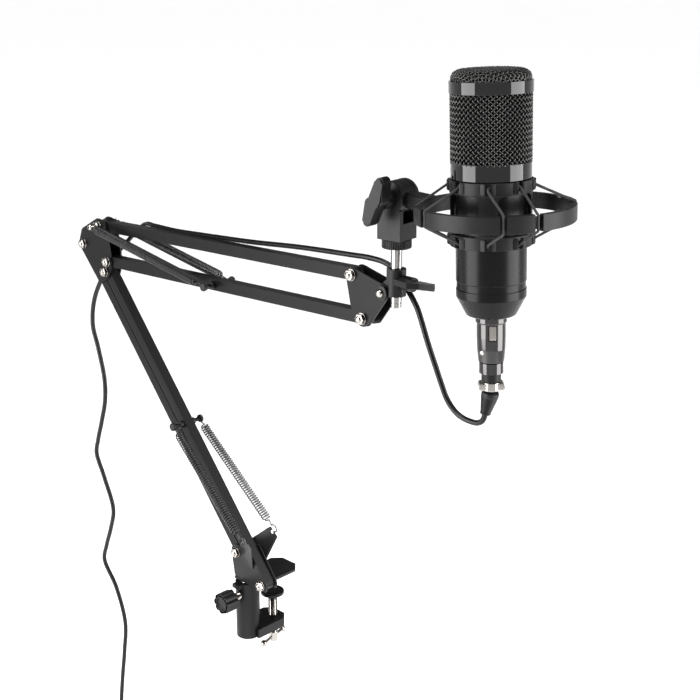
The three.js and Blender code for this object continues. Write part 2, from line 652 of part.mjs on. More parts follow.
function jackPlug() {
  return turnedAlong([[0, 0], [2, 0], [3.6, 9], [5, 10], [5, 30], [3.6, 31], [1.75, 31.5], [1.75, 44], [0, 45.5]],
    coilCentre.clone().add(point(-coilRadius, jackSide, jackDrop)), point(0, 0, -1), 14);
}

const routePoints = (route) => route.map(([x, y, z]) => point(x, y, z));
add(model, 'plug_boot', plugBoot(), blackPlastic);
add(model, 'lead_loop', cord(routePoints(loopRoute), leadRadius, 30, 8), leadBlack);
add(model, 'lead_arm', cord(routePoints(armRoute), leadRadius, 26, 8), leadBlack);
add(model, 'lead_drop', cord(routePoints(dropRoute), leadRadius, 40, 8), leadBlack);
add(model, 'lead_coil', coil(), leadBlack);
add(model, 'jack_plug', jackPlug(), brass);

export default model;
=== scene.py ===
"""A condenser microphone in an elastic mount on a sprung boom arm, finished round its CAD frame.

Shapes are drawn in millimetres and scaled to metres as they are placed. +Z is up, and the origin is
under the clamp's upper jaw, on the clamp screw's axis.
"""
import math

import bmesh
import bpy
from mathutils import Matrix, Vector
from mathutils.geometry import convex_hull_2d


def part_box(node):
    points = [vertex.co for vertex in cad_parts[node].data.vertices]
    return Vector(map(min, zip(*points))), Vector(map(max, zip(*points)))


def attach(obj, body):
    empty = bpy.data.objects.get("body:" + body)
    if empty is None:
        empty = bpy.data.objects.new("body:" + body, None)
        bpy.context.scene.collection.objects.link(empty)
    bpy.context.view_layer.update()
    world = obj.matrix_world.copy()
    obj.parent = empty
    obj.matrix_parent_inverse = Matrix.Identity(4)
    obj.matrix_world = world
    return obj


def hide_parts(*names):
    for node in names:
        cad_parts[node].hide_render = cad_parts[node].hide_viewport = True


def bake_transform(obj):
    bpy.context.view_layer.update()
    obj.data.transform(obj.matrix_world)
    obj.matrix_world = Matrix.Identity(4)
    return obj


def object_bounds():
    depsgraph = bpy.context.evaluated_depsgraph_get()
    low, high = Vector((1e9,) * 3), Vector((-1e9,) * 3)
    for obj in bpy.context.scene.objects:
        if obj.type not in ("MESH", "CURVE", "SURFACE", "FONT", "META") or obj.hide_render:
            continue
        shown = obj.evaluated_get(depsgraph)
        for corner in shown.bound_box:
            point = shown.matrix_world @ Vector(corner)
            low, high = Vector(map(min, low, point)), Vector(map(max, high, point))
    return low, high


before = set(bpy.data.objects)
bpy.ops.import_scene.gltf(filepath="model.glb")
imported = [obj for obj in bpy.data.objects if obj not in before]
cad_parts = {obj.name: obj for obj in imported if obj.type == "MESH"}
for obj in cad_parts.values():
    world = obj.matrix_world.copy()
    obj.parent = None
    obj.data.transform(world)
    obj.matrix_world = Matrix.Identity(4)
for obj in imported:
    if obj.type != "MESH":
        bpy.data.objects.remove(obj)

cad_box = [list(corner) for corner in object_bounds()]

# ---- driving dimensions, in millimetres and degrees, as in the CAD ----
MM = 0.001
LEAD = 4.0                    # lead's diameter
BAR = 9.0                     # square tube of the arms
PLATE_INNER = 4.8             # plates' inner faces, from the boom's plane
PLATE_OUTER = 6.0
SPRING_OFFSET = 12.9          # springs' distance from the boom's plane
SPRING_RADIUS = 4.0
ROD_X = 162.3                 # the mount's upright rod
TILT_Z = 345.6                # height of the mount's tilt pivot
MOUNT_AZIMUTH = 5.16
MIC_TILT = -2.3
RING_REACH = 76.7             # from the tilt pivot to the ring's centre
OFF_CENTRE = 2.9              # how much nearer the rod the microphone hangs
MIC_Z = -3.4                  # the ring's middle plane, from the tilt pivot
RING_OUTER = 51.25
RING_INNER = 47.25
RING_HALF = 5.25              # half the hoop's height
FIRST_BLOCK = -39.9           # the ring's four blocks, degrees from the arm, then every 90
FIRST_HOOK = -61.4            # the cradle's hooks, then every 45
CRADLE_BORE = 23.0
CRADLE_OUTER = 26.5
BODY_RADIUS = 22.65
WIRE = 0.46                   # the grille wire's radius
WEAVE = 0.42                  # how far it rises over and under
DOME_STEP = 0.25              # spacing of the dome profile's points
LATCH_ANGLE = -51.4           # where the plug's latch sits round it
CAMERA_AZIMUTH = -46.2
CAMERA_SPOT = (716.3, -651.1, 501.1)
CAMERA_TOWARDS = (-0.6602, 0.6883, -0.3007)
SOFTBOX_DISTANCE = 1.25       # metres from the microphone
SOFTBOX_HEIGHT = 0.15         # metres above it
LEAD_STEP = 1.5               # spacing of the points along the lead's upper part


def spin(degrees, axis="Z"):
    return Matrix.Rotation(math.radians(degrees), 4, axis)


def shift(x, y, z):
    return Matrix.Translation((x, y, z))


def corner_pair(node):
    """The lowest and highest corner of a CAD node's box, in millimetres."""
    low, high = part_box(node)
    return Vector(low) / MM, Vector(high) / MM


def middle(node):
    """The centre of a CAD node's box, in millimetres."""
    low, high = corner_pair(node)
    return (low + high) / 2


BOOM_Y = middle("lower_rear_bar").y
BOOM = shift(0, BOOM_Y, 0)
WORLD = Matrix.Identity(4)
MOUNT = shift(ROD_X, BOOM_Y, 0) @ spin(MOUNT_AZIMUTH)
TILTING = MOUNT @ shift(0, 0, TILT_Z) @ spin(MIC_TILT, "Y")
RING = TILTING @ shift(RING_REACH, 0, MIC_Z)
MIC = TILTING @ shift(RING_REACH - OFF_CENTRE, 0, MIC_Z)
ALONG_Y = spin(-90, "X")


def add_object(name, data):
    made = bpy.data.objects.new(name, data)
    bpy.context.scene.collection.objects.link(made)
    return made


# ---- camera ----
def add_camera():
    data = bpy.data.cameras.new("camera")
    data.lens = 64.9
    data.sensor_width = 36
    data.clip_end = 100
    camera = add_object("camera", data)
    camera.location = Vector(CAMERA_SPOT) * MM
    camera.rotation_euler = Vector(CAMERA_TOWARDS).to_track_quat("-Z", "Y").to_euler()
    bpy.context.scene.camera = camera


add_camera()


# ---- materials ----
def shader(name):
    """A new material, with its node tree and its Principled shader."""
    material = bpy.data.materials.new(name)
    material.use_nodes = True
    return material, material.node_tree, material.node_tree.nodes["Principled BSDF"]


def noise(tree, scale, detail=4.0):
    """Object-space noise, scale in waves per metre."""
    place = tree.nodes.new("ShaderNodeTexCoord")
    texture = tree.nodes.new("ShaderNodeTexNoise")
    texture.inputs["Scale"].default_value = scale
    texture.inputs["Detail"].default_value = detail
    tree.links.new(place.outputs["Object"], texture.inputs["Vector"])
    return texture.outputs["Fac"]


def ramp(tree, value, low, high, start=0.3, end=0.7):
    """A colour between low and high as value goes from start to end."""
    node = tree.nodes.new("ShaderNodeValToRGB")
    node.color_ramp.elements[0].position = start
    node.color_ramp.elements[0].color = (*low, 1)
    node.color_ramp.elements[1].position = end
    node.color_ramp.elements[1].color = (*high, 1)
    tree.links.new(value, node.inputs["Fac"])
    return node.outputs["Color"]


def stretch_range(tree, value, low, high):
    """The same value, moved from 0 to 1 onto low to high."""
    node = tree.nodes.new("ShaderNodeMapRange")
    node.inputs["To Min"].default_value = low
    node.inputs["To Max"].default_value = high
    tree.links.new(value, node.inputs["Value"])
    return node.outputs["Result"]


def bump(tree, principled, height, strength, distance):
    """Relief from a height, with its distance in metres."""
    node = tree.nodes.new("ShaderNodeBump")
    node.inputs["Strength"].default_value = strength
    node.inputs["Distance"].default_value = distance
    tree.links.new(height, node.inputs["Height"])
    tree.links.new(node.outputs["Normal"], principled.inputs["Normal"])


def surface(name, color, roughness, metallic=0.0, vary=0.18, grain=900.0, relief=0.25, depth=0.00005,
            specular=0.5):
    """A finish whose colour and roughness drift, with a fine grain in relief."""
    material, tree, principled = shader(name)
    principled.inputs["Metallic"].default_value = metallic
    principled.inputs["Specular IOR Level"].default_value = specular
    drift = noise(tree, 45, 5)
    dark = [channel * (1 - vary) for channel in color]
    light = [channel * (1 + vary) for channel in color]
    tree.links.new(ramp(tree, drift, dark, light), principled.inputs["Base Color"])
    rough = stretch_range(tree, noise(tree, 130, 4), roughness * 0.85, roughness * 1.15)
    tree.links.new(rough, principled.inputs["Roughness"])
    bump(tree, principled, noise(tree, grain, 3), relief, depth)
    return material


def paint_with_painted_edge_highlight():
    """Satin black powder coat: orange peel in relief, and a painted highlight that makes its sharp edges
    paler.
    """
    material = surface("black_paint", (0.004, 0.0038, 0.004), 0.33, vary=0.12, grain=700, relief=0.2,
                       specular=0.11)
    tree = material.node_tree
    principled = tree.nodes["Principled BSDF"]
    base = principled.inputs["Base Color"].links[0].from_socket
    # Pointiness mixes a paler colour in along sharp edges: a painted edge highlight.
    edges = tree.nodes.new("ShaderNodeNewGeometry")
    painted_edge_highlight = ramp(tree, edges.outputs["Pointiness"], (0, 0, 0), (1, 1, 1), 0.56, 0.7)
    mix = tree.nodes.new("ShaderNodeMix")
    mix.data_type = "RGBA"
    tree.links.new(painted_edge_highlight, mix.inputs["Factor"])
    tree.links.new(base, mix.inputs[6])
    mix.inputs[7].default_value = (0.012, 0.0117, 0.012, 1)
    tree.links.new(mix.outputs[2], principled.inputs["Base Color"])
    return material


def braid():
    """Braided elastic cord: two crossed sets of fine ribs."""
    material = surface("elastic", (0.007, 0.007, 0.007), 0.7)
    tree = material.node_tree
    principled = tree.nodes["Principled BSDF"]
    place = tree.nodes.new("ShaderNodeTexCoord")
    waves = []
    for slant in (math.radians(35), math.radians(-35)):
        mapping = tree.nodes.new("ShaderNodeMapping")
        mapping.inputs["Rotation"].default_value = (slant, slant, 0)
        wave = tree.nodes.new("ShaderNodeTexWave")
        wave.inputs["Scale"].default_value = 500
        tree.links.new(place.outputs["Object"], mapping.inputs["Vector"])
        tree.links.new(mapping.outputs["Vector"], wave.inputs["Vector"])
        waves.append(wave.outputs["Fac"])
    most = tree.nodes.new("ShaderNodeMath")
    most.operation = "MAXIMUM"
    tree.links.new(waves[0], most.inputs[0])
    tree.links.new(waves[1], most.inputs[1])
    bump(tree, principled, most.outputs[0], 0.6, 0.0001)
    return material


FINISH = {
    "black_paint": paint_with_painted_edge_highlight(),
    "nickel": surface("nickel", (0.34, 0.32, 0.3), 0.18, 1, 0.1, 500, 0.12),
    "chrome": surface("chrome", (0.3, 0.29, 0.28), 0.07, 1, 0.05, 300, 0.04),
    "spring_steel": surface("spring_steel", (0.13, 0.13, 0.128), 0.3, 1, 0.2, 900, 0.15),
    "black_spring": surface("black_spring", (0.03, 0.03, 0.031), 0.28, 0.7, 0.2, 900, 0.15),
    "moulded_black": surface("moulded_black", (0.006, 0.0058, 0.0058), 0.4, 0, 0.15, 1100, 0.3,
                             specular=0.16),
    "satin_black": surface("satin_black", (0.0015, 0.0015, 0.0017), 0.27, 0, 0.1, 2500, 0.1,
                           specular=0.14),
    "gloss_black": surface("gloss_black", (0.002, 0.002, 0.0022), 0.04, 0, 0.05, 60, 0.02, 0.0001,
                           specular=0.36),
    "black_chrome": surface("black_chrome", (0.06, 0.058, 0.058), 0.1, 1, 0.08, 300, 0.05),
    "grille_mesh": surface("grille_mesh", (0.042, 0.042, 0.041), 0.25, 0.9, 0.2, 1500, 0.2),
    "grille_lining": surface("grille_lining", (0.002, 0.002, 0.002), 0.7, 0, 0.2, 2500, 0.6, specular=0.15),
    "gold_film": surface("gold_film", (0.75, 0.55, 0.22), 0.25, 1, 0.08, 400, 0.1),
    "circuit_green": surface("circuit_green", (0.02, 0.13, 0.05), 0.35, 0, 0.2, 700, 0.3),
    "elastic": braid(),
    "rubber_boot": surface("rubber_boot", (0.003, 0.003, 0.003), 0.45, 0, 0.15, 1200, 0.3, specular=0.25),
    "lead_jacket": surface("lead_jacket", (0.0025, 0.0025, 0.0026), 0.28, 0, 0.12, 700, 0.2, specular=0.2),
    "jack_metal": surface("jack_metal", (0.7, 0.58, 0.33), 0.18, 1, 0.06, 400, 0.1),
}


# ---- mesh helpers; shapes are drawn in millimetres ----
def finish_piece(name, bm, place, finish, nodes=(), body=None, angle=38):
    """Places a drawn shape, gives it its finish, and puts it in the CAD nodes' stead."""
    bmesh.ops.transform(bm, matrix=Matrix.Scale(MM, 4) @ place, verts=bm.verts)
    bmesh.ops.recalc_face_normals(bm, faces=bm.faces)
    mesh = bpy.data.meshes.new(name)
    bm.to_mesh(mesh)
    bm.free()
    mesh.materials.append(FINISH[finish])
    mesh.shade_smooth()
    mesh.set_sharp_from_angle(angle=math.radians(angle))
    piece = add_object(name, mesh)
    if body:
        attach(piece, body)
    flatten = piece.modifiers.new("flat_faces", "WEIGHTED_NORMAL")
    flatten.keep_sharp = True
    if nodes:
        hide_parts(*nodes)
    return piece


def polar(radius, degrees, z=0.0):
    """A point at an angle about Z."""
    angle = math.radians(degrees)
    return Vector((radius * math.cos(angle), radius * math.sin(angle), z))


def eased(points, amount, steps=3):
    """The same open outline with its inner corners rounded off."""
    out = [tuple(points[0])]
    for before, corner, after in zip(points, points[1:], points[2:]):
        a, b, c = Vector(before), Vector(corner), Vector(after)
        reach = min(amount, (a - b).length * 0.48, (c - b).length * 0.48)
        start = b + (a - b).normalized() * reach
        end = b + (c - b).normalized() * reach
        for step in range(steps + 1):
            t = step / steps
            out.append(tuple((1 - t) ** 2 * start + 2 * t * (1 - t) * b + t * t * end))
    out.append(tuple(points[-1]))
    return out


def turn(bm, profile, sides=48, place=WORLD, swell=None):
    """A turned shape about Z, from (radius, z) pairs. swell changes the radius with the angle."""
    rings = []
    for radius, z in profile:
        count = 1 if radius < 1e-6 else sides
        ring = []
        for side in range(count):
            angle = 360 * side / sides
            wide = radius + (swell(angle, z) if swell and count > 1 else 0)
            ring.append(bm.verts.new(place @ polar(wide, angle, z)))
        rings.append(ring)
    for low, high in zip(rings, rings[1:]):
        for side in range(sides):
            after = (side + 1) % sides
            corners = [low[side % len(low)], low[after % len(low)]]
            corners += [high[after % len(high)], high[side % len(high)]]
            corners = list(dict.fromkeys(corners))
            if len(corners) > 2:
                bm.faces.new(corners)


def bevel_sharp(bm, amount, degrees=30):
    """Eases every edge that turns more than some degrees."""
    bm.normal_update()
    limit = math.radians(degrees)
    sharp = [edge for edge in bm.edges if len(edge.link_faces) == 2 and edge.calc_face_angle(0) > limit]
    bmesh.ops.bevel(bm, geom=sharp, offset=amount, segments=2, affect="EDGES", clamp_overlap=True)


def prism(bm, outline, low, high, ease=0.4, place=WORLD):
    """A flat plate: an XZ outline between two values of Y, with eased rims."""
    near = [bm.verts.new(place @ Vector((x, low, z))) for x, z in outline]
    far = [bm.verts.new(place @ Vector((x, high, z))) for x, z in outline]
    caps = [bm.faces.new(near), bm.faces.new(list(reversed(far)))]
    for index in range(len(outline)):
        after = (index + 1) % len(outline)
        bm.faces.new([near[index], far[index], far[after], near[after]])
    if ease:
        rims = list({edge for cap in caps for edge in cap.edges})
        bmesh.ops.bevel(bm, geom=rims, offset=ease, segments=2, affect="EDGES")


def merge(bm, other):
    """Moves another drawn shape into this one."""
    mesh = bpy.data.meshes.new("part")
    other.to_mesh(mesh)
    other.free()
    bm.from_mesh(mesh)
    bpy.data.meshes.remove(mesh)


def belt(discs, sides=32):
    """The outline that a belt takes round discs given as (x, z, radius)."""
    samples = []
    for x, z, radius in discs:
        for side in range(sides):
            spot = polar(radius, 360 * side / sides)
            samples.append((x + spot.x, z + spot.y))
    return [samples[index] for index in convex_hull_2d(samples)]


def hull(bm, points, ease=0.5, place=WORLD):
    """A convex solid round points, with eased edges."""
    verts = [bm.verts.new(place @ Vector(point)) for point in points]
    made = bmesh.ops.convex_hull(bm, input=verts)
    inner = [item for item in made["geom_interior"] if isinstance(item, bmesh.types.BMVert)]
    bmesh.ops.delete(bm, geom=inner, context="VERTS")
    bmesh.ops.dissolve_limit(bm, angle_limit=math.radians(2), verts=bm.verts, edges=bm.edges)
    bevel_sharp(bm, ease, 20)


def smooth_route(points, step):
    """Points every step or so along a centripetal Catmull-Rom curve."""
    ends = [points[0] * 2 - points[1], *points, points[-1] * 2 - points[-2]]
    dense = []
    for p0, p1, p2, p3 in zip(ends, ends[1:], ends[2:], ends[3:]):
        knots = [0.0]
        for a, b in ((p0, p1), (p1, p2), (p2, p3)):
            knots.append(knots[-1] + max((b - a).length, 1e-6) ** 0.5)
        t0, t1, t2, t3 = knots
        for count in range(24):
            t = t1 + (t2 - t1) * count / 24
            a1 = p0 * ((t1 - t) / (t1 - t0)) + p1 * ((t - t0) / (t1 - t0))
            a2 = p1 * ((t2 - t) / (t2 - t1)) + p2 * ((t - t1) / (t2 - t1))
            a3 = p2 * ((t3 - t) / (t3 - t2)) + p3 * ((t - t2) / (t3 - t2))
            b1 = a1 * ((t2 - t) / (t2 - t0)) + a2 * ((t - t0) / (t2 - t0))
            b2 = a2 * ((t3 - t) / (t3 - t1)) + a3 * ((t - t1) / (t3 - t1))
            dense.append(b1 * ((t2 - t) / (t2 - t1)) + b2 * ((t - t1) / (t2 - t1)))
    dense.append(points[-1].copy())
    return even(dense, step)


def length_of(path):
    return sum((b - a).length for a, b in zip(path, path[1:]))


def even(path, step):
    """The same path with its points equally far apart."""
    total = length_of(path)
    count = max(2, round(total / step))
    out = [path[0].copy()]
    gone = 0.0
    for a, b in zip(path, path[1:]):
        part = (b - a).length
        while len(out) < count and gone + part >= total * len(out) / count:
            out.append(a.lerp(b, (total * len(out) / count - gone) / part))
        gone += part
    out.append(path[-1].copy())
    return out


def tube(bm, path, radius, sides=10, closed=False, place=WORLD):
    """A round rod along a path, on frames that don't twist."""
    count = len(path)
    rings = []
    normal = None
    for index, spot in enumerate(path):
        ahead = path[(index + 1) % count] if closed or index + 1 < count else path[index]
        behind = path[index - 1] if closed or index else path[index]
        along = (ahead - behind).normalized()
        if normal is None:
            normal = along.orthogonal().normalized()
        normal = (normal - along * normal.dot(along)).normalized()
        across = along.cross(normal)
        ring = []
        for side in range(sides):
            angle = 2 * math.pi * side / sides
            out = normal * math.cos(angle) + across * math.sin(angle)
            ring.append(bm.verts.new(place @ (spot + out * radius)))
        rings.append(ring)
    pairs = list(zip(rings, rings[1:]))
    if closed:
        pairs.append((rings[-1], rings[0]))
    for low, high in pairs:
        for side in range(sides):
            after = (side + 1) % sides
            bm.faces.new([low[side], low[after], high[after], high[side]])
    if not closed:
        bm.faces.new(list(reversed(rings[0])))
        bm.faces.new(rings[-1])


def vectors(points):
    return [Vector(point) for point in points]


# ---- the lead: declared first, because everything else lies round it ----
LOOP_ROUTE = vectors([
    (236.2, -21, 207.9), (235.3, -21, 204.9), (233.4, -21, 202.2), (230, -21, 200.4), (225.6, -21, 199.9),
    (217.8, -21, 200.7), (210.8, -21, 203.6), (203.6, -21, 210.5), (197.9, -21, 221), (192.3, -21, 232.6),
    (187.6, -21, 242.3), (182.9, -20.6, 252), (178.2, -19.4, 260.3), (173.5, -18.3, 267.9),
    (168.9, -18, 274.1), (164.3, -18, 279.5), (160.5, -18, 284), (156, -18, 289)])
ARM_ROUTE = vectors([
    (150, -18.8, 293.6), (143, -20, 296.4), (130, -20.6, 297.4), (113, -20.8, 296.7),
    (62.1, -20.8, 294), (7, -20.8, 289.6), (-45, -20.8, 286.6), (-85, -20.6, 284.6), (-115, -17.5, 283.6),
    (-137.8, -11, 281), (-154, -8.3, 272.5), (-170, -8.2, 260), (-182, -11.5, 247.5), (-189.3, -16.8, 235.3)])
DROP_ROUTE = vectors([
    (-195.7, -20, 222.7), (-206, -20, 206), (-210.8, -20, 192), (-211.9, -20, 176.8),
    (-206.1, -20, 159), (-199.1, -20, 130), (-200.2, -20, 109.4), (-207.5, -20, 87), (-215.5, -20, 65.9),
    (-219.2, -20, 51.9), (-209, -20, 29.6), (-197.8, -20, 1.2), (-203.5, -20, -20), (-212.5, -20, -41.3),
    (-217.5, -20, -58.6), (-200.8, -20, -82), (-189.6, -20, -115.2), (-193.5, -20, -148), (-199, -20.4, -180),
    (-201.3, -22, -207.2), (-201.5, -24, -235)])
COIL_CENTRE = Vector((-223.5, -20, -255.2))
COIL_LAYERS = (26.0, 22.0, 18.0)
COIL_LANES = (-4.0, 0.0, 4.0)
JACK_SIDE = 8.0


def blend_in(t):
    """0 to 1 with a soft start and end."""
    t = min(max(t, 0.0), 1.0)
    return t * t * (3 - 2 * t)


def coil_spot(degrees, radius, lane):
    """A point of the coil, wound clockwise in the XZ plane from its right side."""
    angle = math.radians(-degrees)
    return COIL_CENTRE + Vector((radius * math.cos(angle), lane, radius * math.sin(angle)))


def coil_route():
    """In at the top right, three layers of three turns, and out over the side to the jack plug."""
    spots = []
    for degrees, radius, lane in ((-30, 28.7, -4.5), (-15, 27.1, -4.6)):
        spots.append(coil_spot(degrees, radius, lane))
    turns = []
    for layer, radius in enumerate(COIL_LAYERS):
        lanes = COIL_LANES if layer % 2 == 0 else COIL_LANES[::-1]
        turns += [(radius, lane) for lane in lanes]
    shift_start = 300
    for count, (radius, lane) in enumerate(turns):
        last = count + 1 == len(turns)
        next_radius, next_lane = (radius, lane) if last else turns[count + 1]
        for degrees in range(0, shift_start + (1 if last else 60), 15):
            part = blend_in((degrees - shift_start) / 60)
            bulge = 1.7 * math.sin(math.pi * part) * math.copysign(1, lane) if next_radius != radius else 0
            spots.append(coil_spot(degrees, radius + (next_radius - radius) * part,
                                   lane + (next_lane - lane) * part + bulge))
    bend = 10.0
    leave = math.radians(60)
    first = Vector((COIL_LAYERS[-1] * math.cos(leave) - bend * math.cos(leave), 0,
                    COIL_LAYERS[-1] * math.sin(leave) - bend * math.sin(leave)))
    for degrees in range(15, 151, 15):
        angle = leave - math.radians(degrees)
        side = COIL_LANES[-1] + (JACK_SIDE - COIL_LANES[-1]) * blend_in(degrees / 90)
        spots.append(COIL_CENTRE + first + Vector((bend * math.cos(angle), side, bend * math.sin(angle))))
    bottom = first.z - bend
    second = Vector((-22 + bend, 0, bottom - bend))
    for degrees in range(0, 91, 15):
        angle = math.radians(90 + degrees)
        around = Vector((bend * math.cos(angle), JACK_SIDE, bend * math.sin(angle)))
        spots.append(COIL_CENTRE + second + around)
    spots.append(COIL_CENTRE + Vector((-22, JACK_SIDE, -19.9)))
    return spots


def lead_piece(name, path, body, far_body, nodes, pieces=()):
    """One stretch of the lead: a tube that rides on its body, or, where it spans from one body to the next, a
    tube left on no body.
    """
    bm = bmesh.new()
    tube(bm, path, LEAD / 2, 12)
    piece = finish_piece(name, bm, WORLD, "lead_jacket", nodes, None if far_body else body)
    if far_body:
        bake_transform(piece)
    return piece


def plug_boot():
    """Ribbed strain relief from the plug's clamp to the lead."""
    top = MIC @ Vector((0, 0, -118.9))
    bottom = Vector((236.4, -21, 208.6))
    length = (bottom - top).length
    outline = [(0, 0.3), (3.4, 0.6), (5.6, 1.4), (5.9, 2.6), (5.9, 4)]
    for count in range(13):
        z = 5 + count * (length - 7) / 12
        rib = 5.6 - (5.6 - 3.5) * count / 12
        outline += [(rib, z - 0.4), (rib + 0.32, z), (rib, z + 0.4), (rib - 0.35, z + 0.65)]
    outline += [(3.9, length - 0.8), (3.4, length - 0.1), (2.1, length), (0, length)]
    bm = bmesh.new()
    turn(bm, eased(outline, 0.4, 2), 32)
    place = Matrix.Translation(top) @ (bottom - top).to_track_quat("Z", "Y").to_matrix().to_4x4()
    return finish_piece("boot", bm, place, "rubber_boot", ["plug_boot"], "microphone")


def jack_plug():
    """A 3.5 mm jack: moulded sleeve with grip grooves, and a tip with its three contacts."""
    low, high = corner_pair("jack_plug")
    centre = (low + high) / 2
    place = shift(centre.x, centre.y, high.z) @ spin(180, "X")
    sleeve = [(0, 0), (2.3, 0), (2.6, 2), (3.6, 9), (4.6, 9.6), (5, 10.6)]
    for count in range(5):
        z = 13 + 3 * count
        sleeve += [(5, z), (4.6, z + 0.4), (4.6, z + 1.1), (5, z + 1.5)]
    sleeve += [(5, 29.3), (4.6, 30), (3.4, 30), (0, 30)]
    bm = bmesh.new()
    turn(bm, eased(sleeve, 0.3, 2), 32)
    shell = finish_piece("jack_sleeve", bm, place, "rubber_boot", ["jack_plug"], "elbow")
    tip = [(0, 29.5), (3.4, 29.5), (3.4, 31.2), (1.75, 31.5)]
    for ring_z in (35.2, 38.6):
        tip += [(1.75, ring_z), (1.55, ring_z + 0.1), (1.55, ring_z + 0.5), (1.75, ring_z + 0.6)]
    tip += [(1.75, 41.2), (1.2, 42.4), (1.7, 43.6), (0.7, 45.3), (0, 45.5)]
    bm = bmesh.new()
    turn(bm, tip, 32)
    contacts = finish_piece("jack_contacts", bm, place, "jack_metal", ["jack_plug"], "elbow")
    return [shell, contacts]


def coil_tie():
    """A hook-and-loop strap round the coil's turns, at the top."""
    bm = bmesh.new()
    outline = [(15.2, -6.8), (28.8, -6.8), (28.8, 6.8), (15.2, 6.8)]
    rim = eased([outline[-1], *outline, outline[0]], 1.5)[1:-1]
    rings = []
    for offset, wide in ((0.0, 3.5), (0.7, 3.5)):
        for edge in (-wide, wide):
            centre = Vector((22.0, 0))
            ring = []
            for radius, lane in rim:
                out = (Vector((radius, lane)) - centre).normalized() * offset
                ring.append(bm.verts.new((edge, lane + out.y, radius + out.x)))
            rings.append(ring)
    order = [rings[0], rings[1], rings[3], rings[2]]
    for low, high in zip(order, [*order[1:], order[0]]):
        for index in range(len(low)):
            after = (index + 1) % len(low)
            if low[index].co != low[after].co:
                bm.faces.new([low[index], low[after], high[after], high[index]])
    place = Matrix.Translation(COIL_CENTRE) @ spin(100, "Y")
    return finish_piece("coil_tie", bm, place, "elastic", [], "elbow")


def lead():
    """The whole lead, cut where it passes from one body to the next. A reach of 0 takes all that is left."""
    route = smooth_route(LOOP_ROUTE + ARM_ROUTE, LEAD_STEP)
    stretches = [
        ("lead_at_plug", 31, "microphone", "mount_ring", ["lead_loop"]),
        ("lead_bight", 51, "mount_ring", "mount_base", ["lead_loop"]),
        ("lead_rise", 31, "mount_base", "mount_rod", ["lead_loop"]),
        ("lead_over_clamp", 31.5, "mount_rod", "rod_clamp", ["lead_loop", "lead_arm"]),
        ("lead_over_head", 33, "rod_clamp", "head", ["lead_arm"]),
        ("lead_off_head", 60, "head", "upper_top_bar", ["lead_arm"]),
        ("lead_on_arm", 150, "upper_top_bar", None, ["lead_arm"]),
        ("lead_to_elbow", 0, "upper_top_bar", "elbow", ["lead_arm"])]
    start = 0
    boot = plug_boot()
    for name, reach, body, far_body, nodes in stretches:
        stop = start + round(reach / LEAD_STEP) if reach else len(route) - 1
        lead_piece(name, route[start:stop + 1], body, far_body, nodes, [boot] if start == 0 else ())
        start = stop
    drop = smooth_route([route[-1], *DROP_ROUTE, *coil_route()], 2.0)
    plug = jack_plug()
    lead_piece("lead_drop_and_coil", drop, "elbow", None, ["lead_drop", "lead_coil"],
               [*plug, coil_tie()])


lead()


# ---- fasteners ----
def cross_bolt(node, body):
    """A bolt across the boom: washer, nut and stud end on the near side, domed head on the far side."""
    centre = middle(node)
    place = shift(centre.x, BOOM_Y, centre.z) @ ALONG_Y
    low, high = corner_pair(node)
    near = BOOM_Y - low.y
    bm = bmesh.new()
    washer = eased([(0, -6.2), (4.3, -6.2), (4.3, -6.9), (0, -6.9)], 0.2)
    turn(bm, washer, 32, place)
    flats = bmesh.new()
    turn(flats, [(0, -6.9), (4.15, -6.9), (4.15, -9.2), (3.5, -9.6), (0, -9.6)], 6, place)
    bevel_sharp(flats, 0.25, 25)
    merge(bm, flats)
    tip = max(near, 10.6)
    turn(bm, eased([(0, -9.3), (2.5, -9.3), (2.5, -tip + 0.9), (1.4, -tip), (0, -tip)], 0.6), 24, place)
    far = max(high.y - BOOM_Y, 9.2)
    turn(bm, eased([(0, 6.2), (4.3, 6.2), (4.3, 7.4), (2.9, 9.0), (0, 9.3)], 0.7), 32, place)
    if far > 10:
        turn(bm, eased([(0, 9), (2.3, 9), (2.3, far - 0.5), (1.7, far), (0, far)], 0.4), 24, place)
        if near > 12:
            stub = [(0, -9), (2.3, -9), (2.3, -near + 0.5), (1.7, -near), (0, -near)]
            turn(bm, eased(stub, 0.4), 24, place)
    finish_piece(f"{node}_set", bm, WORLD, "nickel", [node], body)


def head_rivet():
    """A domed tubular rivet in a dark bush, where the rod clamp hangs on the head."""
    centre = middle("head_rivet")
    place = shift(centre.x, BOOM_Y, centre.z) @ ALONG_Y
    bm = bmesh.new()
    turn(bm, eased([(0, -6.2), (2.9, -6.2), (2.9, -9), (1.8, -10.2), (0, -10.4)], 0.9), 32, place)
    turn(bm, eased([(0, 6.2), (4.2, 6.2), (4.2, 7), (2.8, 8.7), (0, 9.2)], 0.8), 32, place)
    finish_piece("head_rivet_dome", bm, WORLD, "nickel", ["head_rivet"], "head")
    bm = bmesh.new()
    bush = [(2.6, -6.1), (5.3, -6.1), (5.3, -7.2), (3.2, -7.8), (2.6, -7.2), (2.6, -6.1)]
    turn(bm, eased(bush, 0.3), 32, place)
    finish_piece("head_rivet_bush", bm, WORLD, "rubber_boot", ["head_rivet"], "head")


